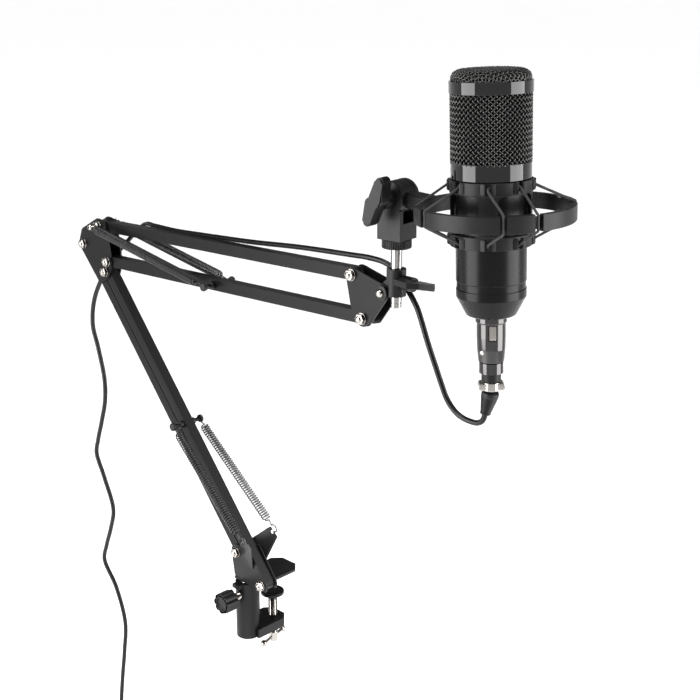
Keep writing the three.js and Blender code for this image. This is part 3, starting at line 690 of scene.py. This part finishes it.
def spring_pin(node, body):
    """A cross pin with a rubber cap on each end, and a groove for each spring's eye."""
    centre = middle(node)
    place = shift(centre.x, BOOM_Y, centre.z) @ ALONG_Y
    low, high = corner_pair(node)
    reach = (high.y - low.y) / 2
    bm = bmesh.new()
    turn(bm, eased([(0, -reach + 1), (1.6, -reach + 1), (1.6, reach - 1), (0, reach - 1)], 0.2), 24, place)
    finish_piece(f"{node}_rod", bm, WORLD, "black_paint", [node], body)
    bm = bmesh.new()
    for side in (-1, 1):
        cap = [(0, reach), (2.6, reach), (3.4, reach - 0.8), (3.4, reach - 2.4), (2.9, reach - 3),
               (0, reach - 3)]
        turn(bm, eased([(radius, side * z) for radius, z in cap], 0.5), 28, place)
        collar = [(0, side * 4.4), (3, side * 4.4), (3, side * 7.5), (2.4, side * 8.2), (0, side * 8.2)]
        turn(bm, eased(collar, 0.3), 28, place)
    finish_piece(f"{node}_caps", bm, WORLD, "rubber_boot", [node], body)


# ---- arms, plates and springs ----
def bar(node, body, first, last):
    """A square bar with rounded ends."""
    start, end = middle(first), middle(last)
    bm = bmesh.new()
    half = BAR / 2
    prism(bm, belt([(start.x, start.z, half), (end.x, end.z, half)]), -half, half, 0.9, BOOM)
    finish_piece(f"{node}_tube", bm, WORLD, "black_paint", [node], body)


def plates(name, body, discs):
    """A pair of cheeks, one each side of the bars, whose outline runs round the discs."""
    outline = belt(discs)
    for side, word in ((-1, "near"), (1, "far")):
        bm = bmesh.new()
        low, high = sorted((side * PLATE_INNER, side * PLATE_OUTER))
        prism(bm, outline, low, high, 0.35, BOOM)
        finish_piece(f"{name}_{word}_cheek", bm, WORLD, "black_paint", [f"{name}_{word}_plate"], body)


def disc(node, radius):
    """A belt's disc round a bolt's centre."""
    centre = middle(node)
    return (centre.x, centre.z, radius)


def eye(centre, towards, radius, wire):
    """Three quarters of a loop about a cross pin, from the far side round to the line of pull."""
    side = Vector((-towards.z, 0, towards.x))
    spots = []
    for step in range(19):
        angle = math.radians(-250 + step * 250 / 18)
        spots.append(centre + towards * (radius * math.cos(angle)) + side * (radius * math.sin(angle)))
    return [spot + Vector((0, wire * 0.9 * (1 - index / 9), 0)) if index < 9 else spot
            for index, spot in enumerate(spots)]


def coil_spring(start, end, trims, eyes, wire, pitch):
    """One wire: an eye round each pin, a straight tail, and close turns between."""
    along = (end - start).normalized()
    radius = SPRING_RADIUS - wire
    across = Vector((0, 1, 0))
    up = along.cross(across).normalized()
    first = start + along * trims[0]
    length = (end - start).length - sum(trims)
    turns = round(length / pitch)
    route = eye(start, along, eyes[0], wire)
    route.append(start + along * (eyes[0] + 0.6))
    per_turn = 12
    for step in range(turns * per_turn + 1):
        angle = 2 * math.pi * step / per_turn
        ends = min(step, turns * per_turn - step) / per_turn
        wide = radius * min(1, 0.3 + 0.7 * ends)
        route.append(first + along * (length * step / (turns * per_turn))
                     + (across * math.cos(angle) + up * math.sin(angle)) * wide)
    tail = [spot for spot in reversed(eye(end, -along, eyes[1], wire))]
    route.append(end - along * (eyes[1] + 0.6))
    return route + tail


def springs():
    pin = middle("lower_spring_pin")
    top_pin = middle("upper_spring_pin")
    elbow_top = middle("elbow_bolt_top")
    hook = Vector((14.7, 0, 48))
    # The two lower springs are the same steel. The near one takes the darker finish as painted shade, and the
    # far one keeps plain steel.
    for side, word, steel in ((-1, "near", "black_spring"), (1, "far", "spring_steel")):
        y = BOOM_Y + side * SPRING_OFFSET
        start = Vector((hook.x, BOOM_Y + side * 17.5, hook.z))
        end = Vector((pin.x, y + side * 0.5, pin.z))
        bm = bmesh.new()
        tube(bm, coil_spring(start, end, (8.5, 6.5), (3.2, 2.4), 0.6, 2.1), 0.6, 6)
        finish_piece(f"lower_coil_{word}", bm, WORLD, steel, [f"lower_spring_{word}"], "lower_springs", 180)
        start = Vector((elbow_top.x, y, elbow_top.z))
        end = Vector((top_pin.x, y, top_pin.z))
        bm = bmesh.new()
        tube(bm, coil_spring(start, end, (6.5, 12), (3.1, 2.4), 0.55, 1.75), 0.55, 6)
        coil = finish_piece(f"upper_coil_{word}", bm, WORLD, "black_spring",
                            [f"upper_spring_{word}", f"upper_spring_tail_{word}"], None, 180)
        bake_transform(coil)


def arms():
    bar("lower_rear_bar", "lower_rear_bar", "base_bolt_rear", "elbow_bolt_rear")
    bar("lower_front_bar", "lower_front_bar", "base_bolt_front", "elbow_bolt_front")
    bar("upper_top_bar", "upper_top_bar", "elbow_bolt_top", "head_bolt_top")
    bar("upper_bottom_bar", "upper_bottom_bar", "elbow_bolt_bottom", "head_bolt_bottom")
    plates("elbow", "elbow", [
        disc("elbow_bolt_rear", 6.5), disc("elbow_bolt_front", 6.2), disc("elbow_bolt_top", 6.5),
        disc("elbow_bolt_bottom", 5.8), (-197.5, 270.5, 2), (-165, 281, 2), (-176, 229, 2)])
    plates("head", "head", [disc("head_bolt_top", 5.5), disc("head_bolt_bottom", 6), disc("head_rivet", 6),
                            (127, 264, 2), (141.5, 254.5, 2)])
    for corner in ("rear", "front", "top", "bottom"):
        cross_bolt(f"elbow_bolt_{corner}", "elbow")
    for corner in ("top", "bottom"):
        cross_bolt(f"head_bolt_{corner}", "head")
    for corner in ("rear", "front"):
        cross_bolt(f"base_bolt_{corner}", "base_bracket")
    head_rivet()
    spring_pin("lower_spring_pin", "lower_front_bar")
    spring_pin("upper_spring_pin", "upper_bottom_bar")


arms()
springs()


# ---- CAD shapes that are right already, with eased edges ----
def dress(node, body, finish, ease, degrees=30):
    """A copy of a CAD node's own shape, with its edges eased."""
    bm = bmesh.new()
    bm.from_mesh(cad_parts[node].data)
    bmesh.ops.transform(bm, matrix=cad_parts[node].matrix_world, verts=bm.verts)
    bmesh.ops.remove_doubles(bm, verts=bm.verts, dist=1e-6)
    bmesh.ops.dissolve_limit(bm, angle_limit=math.radians(1), verts=bm.verts, edges=bm.edges)
    bmesh.ops.scale(bm, vec=(1 / MM,) * 3, verts=bm.verts)
    bevel_sharp(bm, ease, degrees)
    return finish_piece(f"{node}_dressed", bm, WORLD, finish, [node], body)


def clamp():
    dress("clamp_frame", "desk_clamp", "black_paint", 0.5)
    dress("base_yoke", "base_bracket", "black_paint", 0.3)
    bm = bmesh.new()
    post = [(0, -38), (5.2, -38), (6, -37), (6, 2.6), (3, 2.8), (3, 5.4), (4.4, 5.4), (4.4, 6.3), (0, 6.9)]
    turn(bm, eased(post, 0.4), 40, BOOM)
    finish_piece("base_post_turned", bm, WORLD, "nickel", ["base_post"], "base_bracket")
    bm = bmesh.new()
    pad = [(0, -21.5), (7.5, -21.5), (10, -20.6), (10, -18.4), (9.4, -18), (8, -18), (7.6, -18.3),
           (6.4, -18.3), (6, -18), (0, -18)]
    turn(bm, eased(pad, 0.3), 48)
    finish_piece("pad_disc", bm, WORLD, "moulded_black", ["pressure_pad"], "clamp_pad")
    screw()
    bm = bmesh.new()
    half = 17.0
    through = Vector((-0.229, 0.973, 0)).to_track_quat("Z", "Y").to_matrix().to_4x4()
    knob_end = [(0, -half), (1.6, -half + 0.3), (2.6, -half + 1.4), (2.9, -half + 2.6), (2.5, -half + 4.2),
                (1.5, -half + 5), (1.4, -half + 6)]
    mirrored = [(radius, -z) for radius, z in reversed(knob_end)]
    turn(bm, knob_end + mirrored, 32, shift(0, 0, -62.3) @ through)
    finish_piece("tommy_bar_turned", bm, WORLD, "nickel", ["tommy_bar"], "tommy_bar")
    socket_knob()


def screw():
    """An M8 thread: a ridge that climbs 1.25 mm a turn, with a plain end below it and a short plain stub
    above it.
    """
    bottom, top, pitch = -66.0, -22.0, 1.25
    sides = 24
    rows = round((top - bottom - 8) / pitch) * 4
    bm = bmesh.new()
    rings = []
    for row in range(rows + 1):
        ring = []
        for side in range(sides):
            z = bottom + 8 + (row / 4 + side / sides) * pitch
            z = min(z, top - 0.3)
            radius = 3.9 - 0.55 * abs(((row % 4) / 4) * 2 - 1)
            ring.append(bm.verts.new(polar(radius, 360 * side / sides, z)))
        rings.append(ring)
    for low, high in zip(rings, rings[1:]):
        for side in range(sides):
            after = (side + 1) % sides
            if after:
                bm.faces.new([low[side], low[after], high[after], high[side]])
    for row in range(rows - 4):
        bm.faces.new([rings[row][-1], rings[row + 4][0], rings[row + 5][0], rings[row + 1][-1]])
    bmesh.ops.remove_doubles(bm, verts=bm.verts, dist=1e-4)
    plain = [(0, 0), (3.2, 0), (3.9, 0.8), (3.9, 8.6), (3.3, 9.4), (0, 9.4)]
    turn(bm, eased([(radius, bottom + z) for radius, z in plain], 0.4), sides)
    turn(bm, [(0, top - 3), (3.2, top - 3), (3.2, top - 0.1), (0, top - 0.1)], sides)
    finish_piece("clamp_screw_thread", bm, WORLD, "nickel", ["clamp_screw"], "clamp_screw", 30)


def socket_knob():
    """An eight-lobed grip with a recessed face, on a threaded stud."""
    place = shift(0, BOOM_Y, -9) @ ALONG_Y
    bm = bmesh.new()

    def lobes(angle, z):
        return 1.9 * math.sqrt(abs(math.cos(math.radians(4 * angle)))) - 1.6

    grip = [(7.8, -29.5), (8.4, -29.2), (8.6, -28.4), (8.6, -18), (8.4, -16.9), (7.6, -16.5)]
    turn(bm, grip, 96, place, lobes)
    turn(bm, eased([(6.4, -29.45), (5.6, -29.45), (5.1, -28.2), (0, -28.2)], 0.4), 48, place)
    turn(bm, eased([(6.8, -16.6), (4.6, -16.6), (4.2, -15.6), (0, -15.6)], 0.3), 48, place)
    finish_piece("socket_knob_grip", bm, WORLD, "moulded_black", ["socket_knob"], "socket_knob")
    bm = bmesh.new()
    stud = [(0, -17)]
    for count in range(12):
        z = -16.6 + count * 0.85
        stud += [(2.9, z), (2.5, z + 0.42)]
    stud += [(2.6, -6.5), (0, -6.3)]
    turn(bm, stud, 24, place)
    finish_piece("socket_knob_stud", bm, WORLD, "nickel", ["socket_knob"], "socket_knob", 20)


def rod_head():
    dress("rod_clamp", "rod_clamp", "moulded_black", 0.3)
    dress("wing_screw", "wing_screw", "moulded_black", 1.1, 25)
    bm = bmesh.new()
    rod = [(0, 269), (3.2, 269), (3.9, 269.8), (3.9, 272.5), (3.6, 272.7), (3.6, 273.3), (3.9, 273.5),
           (3.9, 310.6), (3, 310.8), (3, 327), (0, 327)]
    turn(bm, rod, 48)
    finish_piece("mount_rod_turned", bm, MOUNT, "chrome", ["mount_rod"], "mount_rod")


clamp()
rod_head()


# ---- suspension mount ----
def mount():
    dress("mount_base", "mount_base", "moulded_black", 0.6)
    bm = bmesh.new()

    def knurl(angle, z):
        return -0.3 * (math.cos(math.radians(40 * angle)) > 0) if 311.4 < z < 316.8 else 0

    collar = [(3.4, 311.1), (9.6, 311.1), (10.2, 311.5), (10.2, 316.7), (9.9, 317), (3.4, 317), (3.4, 311.1)]
    turn(bm, collar, 240, WORLD, knurl)
    finish_piece("lock_collar_ribbed", bm, MOUNT, "moulded_black", ["lock_collar"], "mount_rod")
    bm = bmesh.new()
    place = shift(0, 0, TILT_Z) @ ALONG_Y
    stem = [(0, -17.6), (6.4, -17.6), (6.4, -9.9), (2.7, -9.8), (2.7, 9.9), (0, 9.9)]
    turn(bm, eased(stem, 0.5), 40, place)
    for sign in (-1, 1):
        discs = ((5.0, 13.4, 3.3), (3.4, 1, 3.6), (-1.5, -1.5, 3.4))
        wing = belt([(sign * x, sign * z, radius) for x, z, radius in discs])
        lobe = bmesh.new()
        prism(lobe, wing, -27.5 + 0.03 * sign, -17.5 + 0.03 * sign, 1.1, shift(0, 0, TILT_Z))
        merge(bm, lobe)
    finish_piece("tilt_knob_winged", bm, MOUNT, "moulded_black", ["tilt_knob"], "tilt_knob")
    bm = bmesh.new()
    turn(bm, [(0, 9.8), (4.2, 9.8), (4.2, 12.6), (3.7, 13.1), (0, 13.1)], 6, place)
    bevel_sharp(bm, 0.25)
    turn(bm, eased([(0, 13), (2, 13), (2, 13.9), (0, 14.2)], 0.4), 24, place)
    finish_piece("tilt_nut", bm, MOUNT, "nickel", ["tilt_knob"], "tilt_knob")


def ring_section(degrees):
    """The hoop's outer radius and half height round it: raised blocks, with a deep notch either side."""
    across = (degrees - FIRST_BLOCK + 45) % 90 - 45
    if -10.0 <= across <= 10.0:
        return RING_OUTER + 0.35, RING_HALF + 0.35
    if -14.2 <= across < -10.0 or 10.0 < across <= 16.2:
        return RING_OUTER - 3.0, RING_HALF - 1.3
    return RING_OUTER, RING_HALF


def ring():
    """The hoop with its blocks and notches, and the arm that carries it."""
    angles = [step * 1.5 for step in range(240)]
    for count in range(4):
        for edge in (-14.2, -10.0, 10.0, 16.2):
            exact = (FIRST_BLOCK + 90 * count + edge) % 360
            angles += [(exact - 0.25) % 360, (exact + 0.25) % 360]
    angles = sorted(set(angles))
    bm = bmesh.new()
    rings = []
    ease = 0.6
    for degrees in angles:
        outer, half = ring_section(degrees)
        corners = [(RING_INNER, half), (outer, half), (outer, -half), (RING_INNER, -half)]
        loop = []
        for index, corner in enumerate(corners):
            before = Vector(corners[index - 1])
            after = Vector(corners[(index + 1) % 4])
            spot = Vector(corner)
            back = (before - spot).normalized() * ease
            onward = (after - spot).normalized() * ease
            loop += [spot + back, spot + back * 0.3 + onward * 0.3, spot + onward]
        rings.append([bm.verts.new(polar(radius, degrees, z)) for radius, z in loop])
    for low, high in zip(rings, [*rings[1:], rings[0]]):
        for index in range(len(low)):
            after = (index + 1) % len(low)
            bm.faces.new([low[index], low[after], high[after], high[index]])
    finish_piece("ring_hoop", bm, RING, "moulded_black", ["mount_ring"], "mount_ring")
    bm = bmesh.new()
    knuckle = eased([(3.1, -5.7), (11.4, -5.7), (11.4, 5.7), (3.1, 5.7)], 0.6)
    turn(bm, [*knuckle, (3.1, -5.7)], 64, ALONG_Y)
    root = RING_REACH - RING_OUTER + 2.5
    strap = bmesh.new()
    hull(strap, [(x, side * y, z) for side in (-1, 1) for x, y, z in (
        (5, 4.5, 5.2), (5, 4.5, -5.2), (root, 7.5, MIC_Z + 5.2), (root, 7.5, MIC_Z - 5.2))], 0.8)
    merge(bm, strap)
    finish_piece("ring_arm", bm, TILTING, "moulded_black", ["mount_ring"], "mount_ring")


mount()
ring()


def carve(piece, cutters):
    """Cuts shapes from a piece, and leaves a plain mesh."""
    bpy.context.view_layer.update()
    for cutter in cutters:
        modifier = piece.modifiers.new("carve", "BOOLEAN")
        modifier.object = cutter
        modifier.solver = "EXACT"
    bpy.context.view_layer.update()
    graph = bpy.context.evaluated_depsgraph_get()
    mesh = bpy.data.meshes.new_from_object(piece.evaluated_get(graph))
    piece.modifiers.clear()
    piece.data = mesh
    for cutter in cutters:
        bpy.data.objects.remove(cutter)


def cutter(bm, place=MIC):
    """A drawn shape as an object for carve to cut with."""
    bmesh.ops.transform(bm, matrix=Matrix.Scale(MM, 4) @ place, verts=bm.verts)
    bmesh.ops.recalc_face_normals(bm, faces=bm.faces)
    mesh = bpy.data.meshes.new("cutter")
    bm.to_mesh(mesh)
    bm.free()
    return add_object("cutter", mesh)


def cradle():
    """Two bands joined by four pillars, with rounded windows and a slot at each hook."""
    bm = bmesh.new()
    bore, outer = CRADLE_BORE, CRADLE_OUTER
    profile = [(bore, -21), (outer, -21), (outer, -12.8), (outer - 0.6, -12.4), (outer - 0.6, 12.6),
               (outer, 13), (outer, 21), (bore, 21)]
    profile = eased([*profile, profile[0]], 0.5)
    turn(bm, profile, 144)
    piece = finish_piece("cradle_bands", bm, MIC, "moulded_black", ["cradle"], "microphone", 32)
    cutters = []
    for count in range(4):
        turned = spin(FIRST_HOOK + 45 + 90 * count) @ spin(90)
        window = bmesh.new()
        prism(window, belt([(x, z, 4) for x in (-9.5, 9.5) for z in (-8.8, 9)], 24), -40, -10, 0, turned)
        cutters.append(cutter(window))
    for sign in (-1, 1):
        slots = bmesh.new()
        for count in range(8):
            turned = spin(FIRST_HOOK + 45 * count) @ spin(90)
            outline = belt([(0, sign * 17, 1.7), (0, sign * 24, 1.7)], 16)
            prism(slots, outline, -30, -25.1, 0, turned)
        cutters.append(cutter(slots))
    carve(piece, cutters)


def cradle_ears():
    """A pair of posts either side of each slot, which keep the cord from slipping round the band."""
    bm = bmesh.new()
    for sign in (-1, 1):
        low, high = sorted((sign * 13.8, sign * 20.7))
        for count in range(8):
            turned = spin(FIRST_HOOK + 45 * count)
            for side in (-1, 1):
                near, crest, far = side * 1.5, side * 2.6, side * 5.2
                points = [(radius, across, z) for z in (low, high) for radius, across in (
                    (25.4, near), (27.9, near), (27.9, crest), (26.3, far), (25.4, far))]
                post = bmesh.new()
                hull(post, points, 0.45, turned)
                merge(bm, post)
    finish_piece("cradle_ears", bm, MIC, "moulded_black", ["cradle"], "microphone", 32)


def elastic(number, ring_angle):
    """A loop of cord: from two slots on each band of the cradle, through the ring's notches and round it."""
    left = ring_angle - 21.5
    right = ring_angle + 23.5
    hook = CRADLE_OUTER + 0.6
    route = []

    def strand(hook_angle, notch_angle, sign):
        notch = []
        for radius, z in ((RING_OUTER - 2.6, RING_HALF + 0.4), (RING_OUTER - 1.2, RING_HALF - 0.6),
                          (RING_OUTER - 1.3, RING_HALF - 3)):
            notch.append(polar(radius, notch_angle, sign * z) + Vector((OFF_CENTRE, 0, 0)))
        inner = polar(hook - 0.9, hook_angle, 18.2 * sign)
        outer = polar(hook + 0.9, hook_angle, 16.9 * sign)
        return [inner, outer, *notch]

    def inside(first, last, sign):
        return [polar(24.4, first + (last - first) * t, 18.4 * sign) for t in (0.2, 0.5, 0.8)]

    route += strand(left, ring_angle - 12.1, 1) + list(reversed(strand(left, ring_angle - 12.1, -1)))
    route += inside(left, right, -1)
    route += strand(right, ring_angle + 13.0, -1) + list(reversed(strand(right, ring_angle + 13.0, 1)))
    route += inside(right, left, 1)
    path = smooth_route([*route, route[0]], 0.8)[:-1]
    bm = bmesh.new()
    tube(bm, path, 0.85, 10, closed=True, place=MIC)
    piece = finish_piece(f"elastic_cord_{number}", bm, WORLD, "elastic", [f"elastic_{number}"], None, 60)
    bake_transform(piece)


cradle()
cradle_ears()
for number in range(4):
    elastic(number + 1, FIRST_BLOCK + 90 * number)


# ---- microphone ----
def turned_piece(name, profile, finish, nodes, ease=0.4, sides=96):
    """A turned part of the microphone, on its axis."""
    bm = bmesh.new()
    turn(bm, eased(profile, ease), sides)
    finish_piece(name, bm, MIC, finish, nodes, "microphone")


def hoop(inner, outer, low, high):
    """The closed outline of a plain ring."""
    return [(inner, low), (outer, low), (outer, high), (inner, high), (inner, low)]


def microphone_body():
    radius = BODY_RADIUS
    outside = [(9.6, -67.3), (15.2, -67.3), (16.4, -66.6), (radius - 1, -56.4), (radius, -54.6),
               (radius, -49.3), (radius - 0.5, -49.1), (radius - 0.5, -44.5), (radius, -44.3), (radius, 21),
               (radius - 2, 21)]
    inside = [(radius - 2, -54), (9.6, -63), (9.6, -67.3)]
    turned_piece("body_shell", outside + inside, "satin_black", ["mic_body"], 0.35, 128)
    for word, outer, low, high in (("upper", 26.25, 73.8, 81.4), ("lower", 25.5, 21.5, 31.7)):
        band = hoop(24.9, outer, low, high)
        turned_piece(f"band_{word}", band, "gloss_black", [f"{word}_band"], 0.25, 128)


def dome_profile():
    """The grille's dome from its middle outwards, as (radius, z) with even spacing along it."""
    outline = eased([(0, 88.2), (20.5, 87.5), (24.6, 84.8), (24.6, 76)], 4, 10)
    return even([Vector((radius, z, 0)) for radius, z in outline], DOME_STEP)


def side_weave(bm):
    """Two crossed sets of wire that climb the grille's side at 45 degrees."""
    wires = 46
    radius = 24.9
    across = 2 * math.pi * radius / wires
    low, high = 31.0, 74.2
    for sign in (-1, 1):
        for count in range(wires):
            path = []
            start = 360 * count / wires
            steps = round((high - low) / across * 16)
            for step in range(steps + 1):
                up = (high - low) * step / steps
                angle = start + sign * math.degrees(up / radius)
                crossing = 2 * up / across
                path.append(polar(radius + sign * WEAVE * math.cos(math.pi * crossing), angle, low + up))
            tube(bm, path, WIRE, 6)


def dome_weave(bm):
    """Two crossed sets of wire laid over the dome."""
    profile = dome_profile()
    reach = (len(profile) - 1) * DOME_STEP
    pitch = 2.35
    rows = int(reach / pitch)
    for turned in (0, 90):
        for row in range(-rows, rows + 1):
            offset = row * pitch
            half = math.sqrt(max(reach ** 2 - offset ** 2, 0))
            steps = max(8, round(half * 2 / pitch * 8))
            path = []
            for step in range(steps + 1):
                s = -half + 2 * half * step / steps
                away = math.hypot(s, offset)
                spot = profile[min(int(away / DOME_STEP), len(profile) - 1)]
                angle = math.degrees(math.atan2(offset, s)) + turned + 20
                phase = s / pitch + row + (1 if turned else 0)
                lift = WEAVE * math.cos(math.pi * phase)
                level = polar(spot.x, angle, spot.y)
                outward = level.normalized()
                if away < 17:
                    outward = Vector((level.x * 0.02, level.y * 0.02, 1)).normalized()
                path.append(level + outward * lift)
            if half > 2:
                tube(bm, path, WIRE, 6)


def grille():
    """The woven wire, a dark lining behind it, and the seat that it stands in."""
    bm = bmesh.new()
    side_weave(bm)
    dome_weave(bm)
    finish_piece("grille_weave", bm, MIC, "grille_mesh", ["head_grille"], "microphone", 180)
    lining = [(23.4, 21.6), (23.9, 21.6), (23.9, 83), (20, 86.1), (0, 87), (0, 86.5), (19.6, 85.6),
              (23.4, 82.6), (23.4, 21.6)]
    turned_piece("grille_fine_mesh", lining, "grille_lining", ["head_grille"], 0.4)
    turned_piece("grille_seat", hoop(23.5, 25.0, 21.4, 32), "moulded_black", ["head_grille"], 0.2)


def plug():
    """The XLR plug: collar, shell, step, knurled band and neck, then the cable clamp with its screws."""
    bm = bmesh.new()

    def knurl(angle, z):
        return 0.22 * (1 if math.sin(math.radians(36 * angle)) > 0 else -1) if -106.4 < z < -99.4 else 0

    collar = [(9, -57), (9, -67.6), (10.2, -67.6), (10.3, -68), (10.3, -71.8), (10, -72.2), (9.5, -72.4),
              (9.5, -82), (9.3, -90), (8.5, -98.4), (7.9, -98.8)]
    turn(bm, eased(collar, 0.25), 64)
    shell = finish_piece("plug_sleeve", bm, MIC, "black_chrome", ["plug_shell"], "microphone")
    slot = bmesh.new()
    prism(slot, belt([(x, z, 0.8) for x in (-1.9, 1.9) for z in (-82.7, -73.7)], 12), -14, -6.5, 0,
          spin(LATCH_ANGLE + 90))
    carve(shell, [cutter(slot)])
    bm = bmesh.new()
    turn(bm, [(7.6, -98.9), (8.0, -99.3), (8.0, -106.5), (7.6, -106.8), (6.4, -106.9)], 288, WORLD, knurl)
    finish_piece("plug_knurl", bm, MIC, "black_chrome", ["plug_shell"], "microphone", 25)
    neck = [(6.4, -106.5), (6.5, -107), (6.5, -112.3), (0, -112.4)]
    turned_piece("plug_neck", neck, "moulded_black", ["plug_shell"], 0.4, 48)
    bm = bmesh.new()
    turned = spin(LATCH_ANGLE)
    lever = ((7.6, -83), (7.6, -73.4), (9.6, -73.4), (10.5, -80.8), (10.4, -82.4), (9.6, -83))
    hull(bm, [(x, side * 2.2, z) for side in (-1, 1) for x, z in lever], 0.3, turned)
    finish_piece("latch_lever", bm, MIC, "nickel", ["plug_latch"], "plug_latch")
    bm = bmesh.new()
    turn(bm, eased([(0, -118.6), (6.25, -118.6), (6.25, -112.8), (0, -112.8)], 0.7), 48)
    turned = spin(38) @ shift(0, 0, -115.6) @ ALONG_Y
    for side in (-1, 1):
        lug = turned @ shift(side * 6.4, 0, 0)
        turn(bm, eased([(0, -5.2), (2.4, -5.2), (2.4, 5.2), (0, 5.2)], 0.5), 24, lug)
    finish_piece("cable_clamp", bm, MIC, "nickel", ["plug_clamp"], "microphone")
    bm = bmesh.new()
    side_screw = turned_place(-97, -91.5, 9.0)
    turn(bm, eased([(0, 0), (1.7, 0), (1.7, 0.5), (1.2, 0.9), (0, 0.9)], 0.25), 24, side_screw)
    finish_piece("shell_screw", bm, MIC, "nickel", ["plug_shell"], "microphone")


def turned_place(angle, z, radius):
    """A frame on the plug's side whose Z points straight out."""
    return spin(angle) @ shift(radius, 0, z) @ spin(90, "Y")


microphone_body()
grille()
plug()


# ---- carried-over CAD nodes inside the microphone ----
INSIDE = {"capsule": "gold_film", "circuit_board": "circuit_green", "mic_connector": "moulded_black"}
for node, finish in INSIDE.items():
    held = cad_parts[node]
    held.data.materials.clear()
    held.data.materials.append(FINISH[finish])


# ---- floor and light ----
def studio():
    """A plain pale floor, 30 mm under the object's lowest point, in metres."""
    low = cad_box[0][2] - 0.03
    mesh = bpy.data.meshes.new("floor")
    corners = [(30 * x, 30 * y, low) for x, y in ((-1, -1), (1, -1), (1, 1), (-1, 1))]
    mesh.from_pydata(corners, [], [(0, 1, 2, 3)])
    mesh.materials.append(surface("studio_floor", (0.92, 0.92, 0.92), 0.6, 0, 0.01, 200, 0.05))
    add_object("floor", mesh)


def softbox(name, azimuth, wide):
    """A lit rectangle in metres that faces the microphone, at an azimuth from the camera's side."""
    data = bpy.data.lights.new(name, "AREA")
    data.shape = "RECTANGLE"
    data.size = wide
    data.size_y = 1.5
    data.energy = 42
    light = add_object(name, data)
    target = (MIC @ Vector((0, 0, 20))) * MM
    light.location = target + polar(SOFTBOX_DISTANCE, CAMERA_AZIMUTH + azimuth, SOFTBOX_HEIGHT)
    light.rotation_euler = (target - light.location).to_track_quat("-Z", "Y").to_euler()


def lights():
    """Two softboxes, a wide light overhead, and a surround that is bright only near the horizon."""
    softbox("softbox_left", -71, 0.98)
    softbox("softbox_right", 71, 1.06)
    data = bpy.data.lights.new("overhead", "SUN")
    data.energy = 3.35
    data.angle = math.radians(50)
    sun = add_object("overhead", data)
    sun.rotation_euler = (math.radians(8), math.radians(6), 0)
    world = bpy.data.worlds.new("studio")
    world.use_nodes = True
    tree = world.node_tree
    background = tree.nodes["Background"]
    place = tree.nodes.new("ShaderNodeTexCoord")
    parts = tree.nodes.new("ShaderNodeSeparateXYZ")
    tree.links.new(place.outputs["Generated"], parts.inputs["Vector"])
    sky = ramp(tree, parts.outputs["Z"], (0.96, 0.96, 0.96), (0.15, 0.15, 0.15), 0.05, 0.12)
    tree.links.new(sky, background.inputs["Color"])
    background.inputs["Strength"].default_value = 1.0
    bpy.context.scene.world = world
    bpy.context.scene.view_settings.view_transform = "Standard"


studio()
lights()
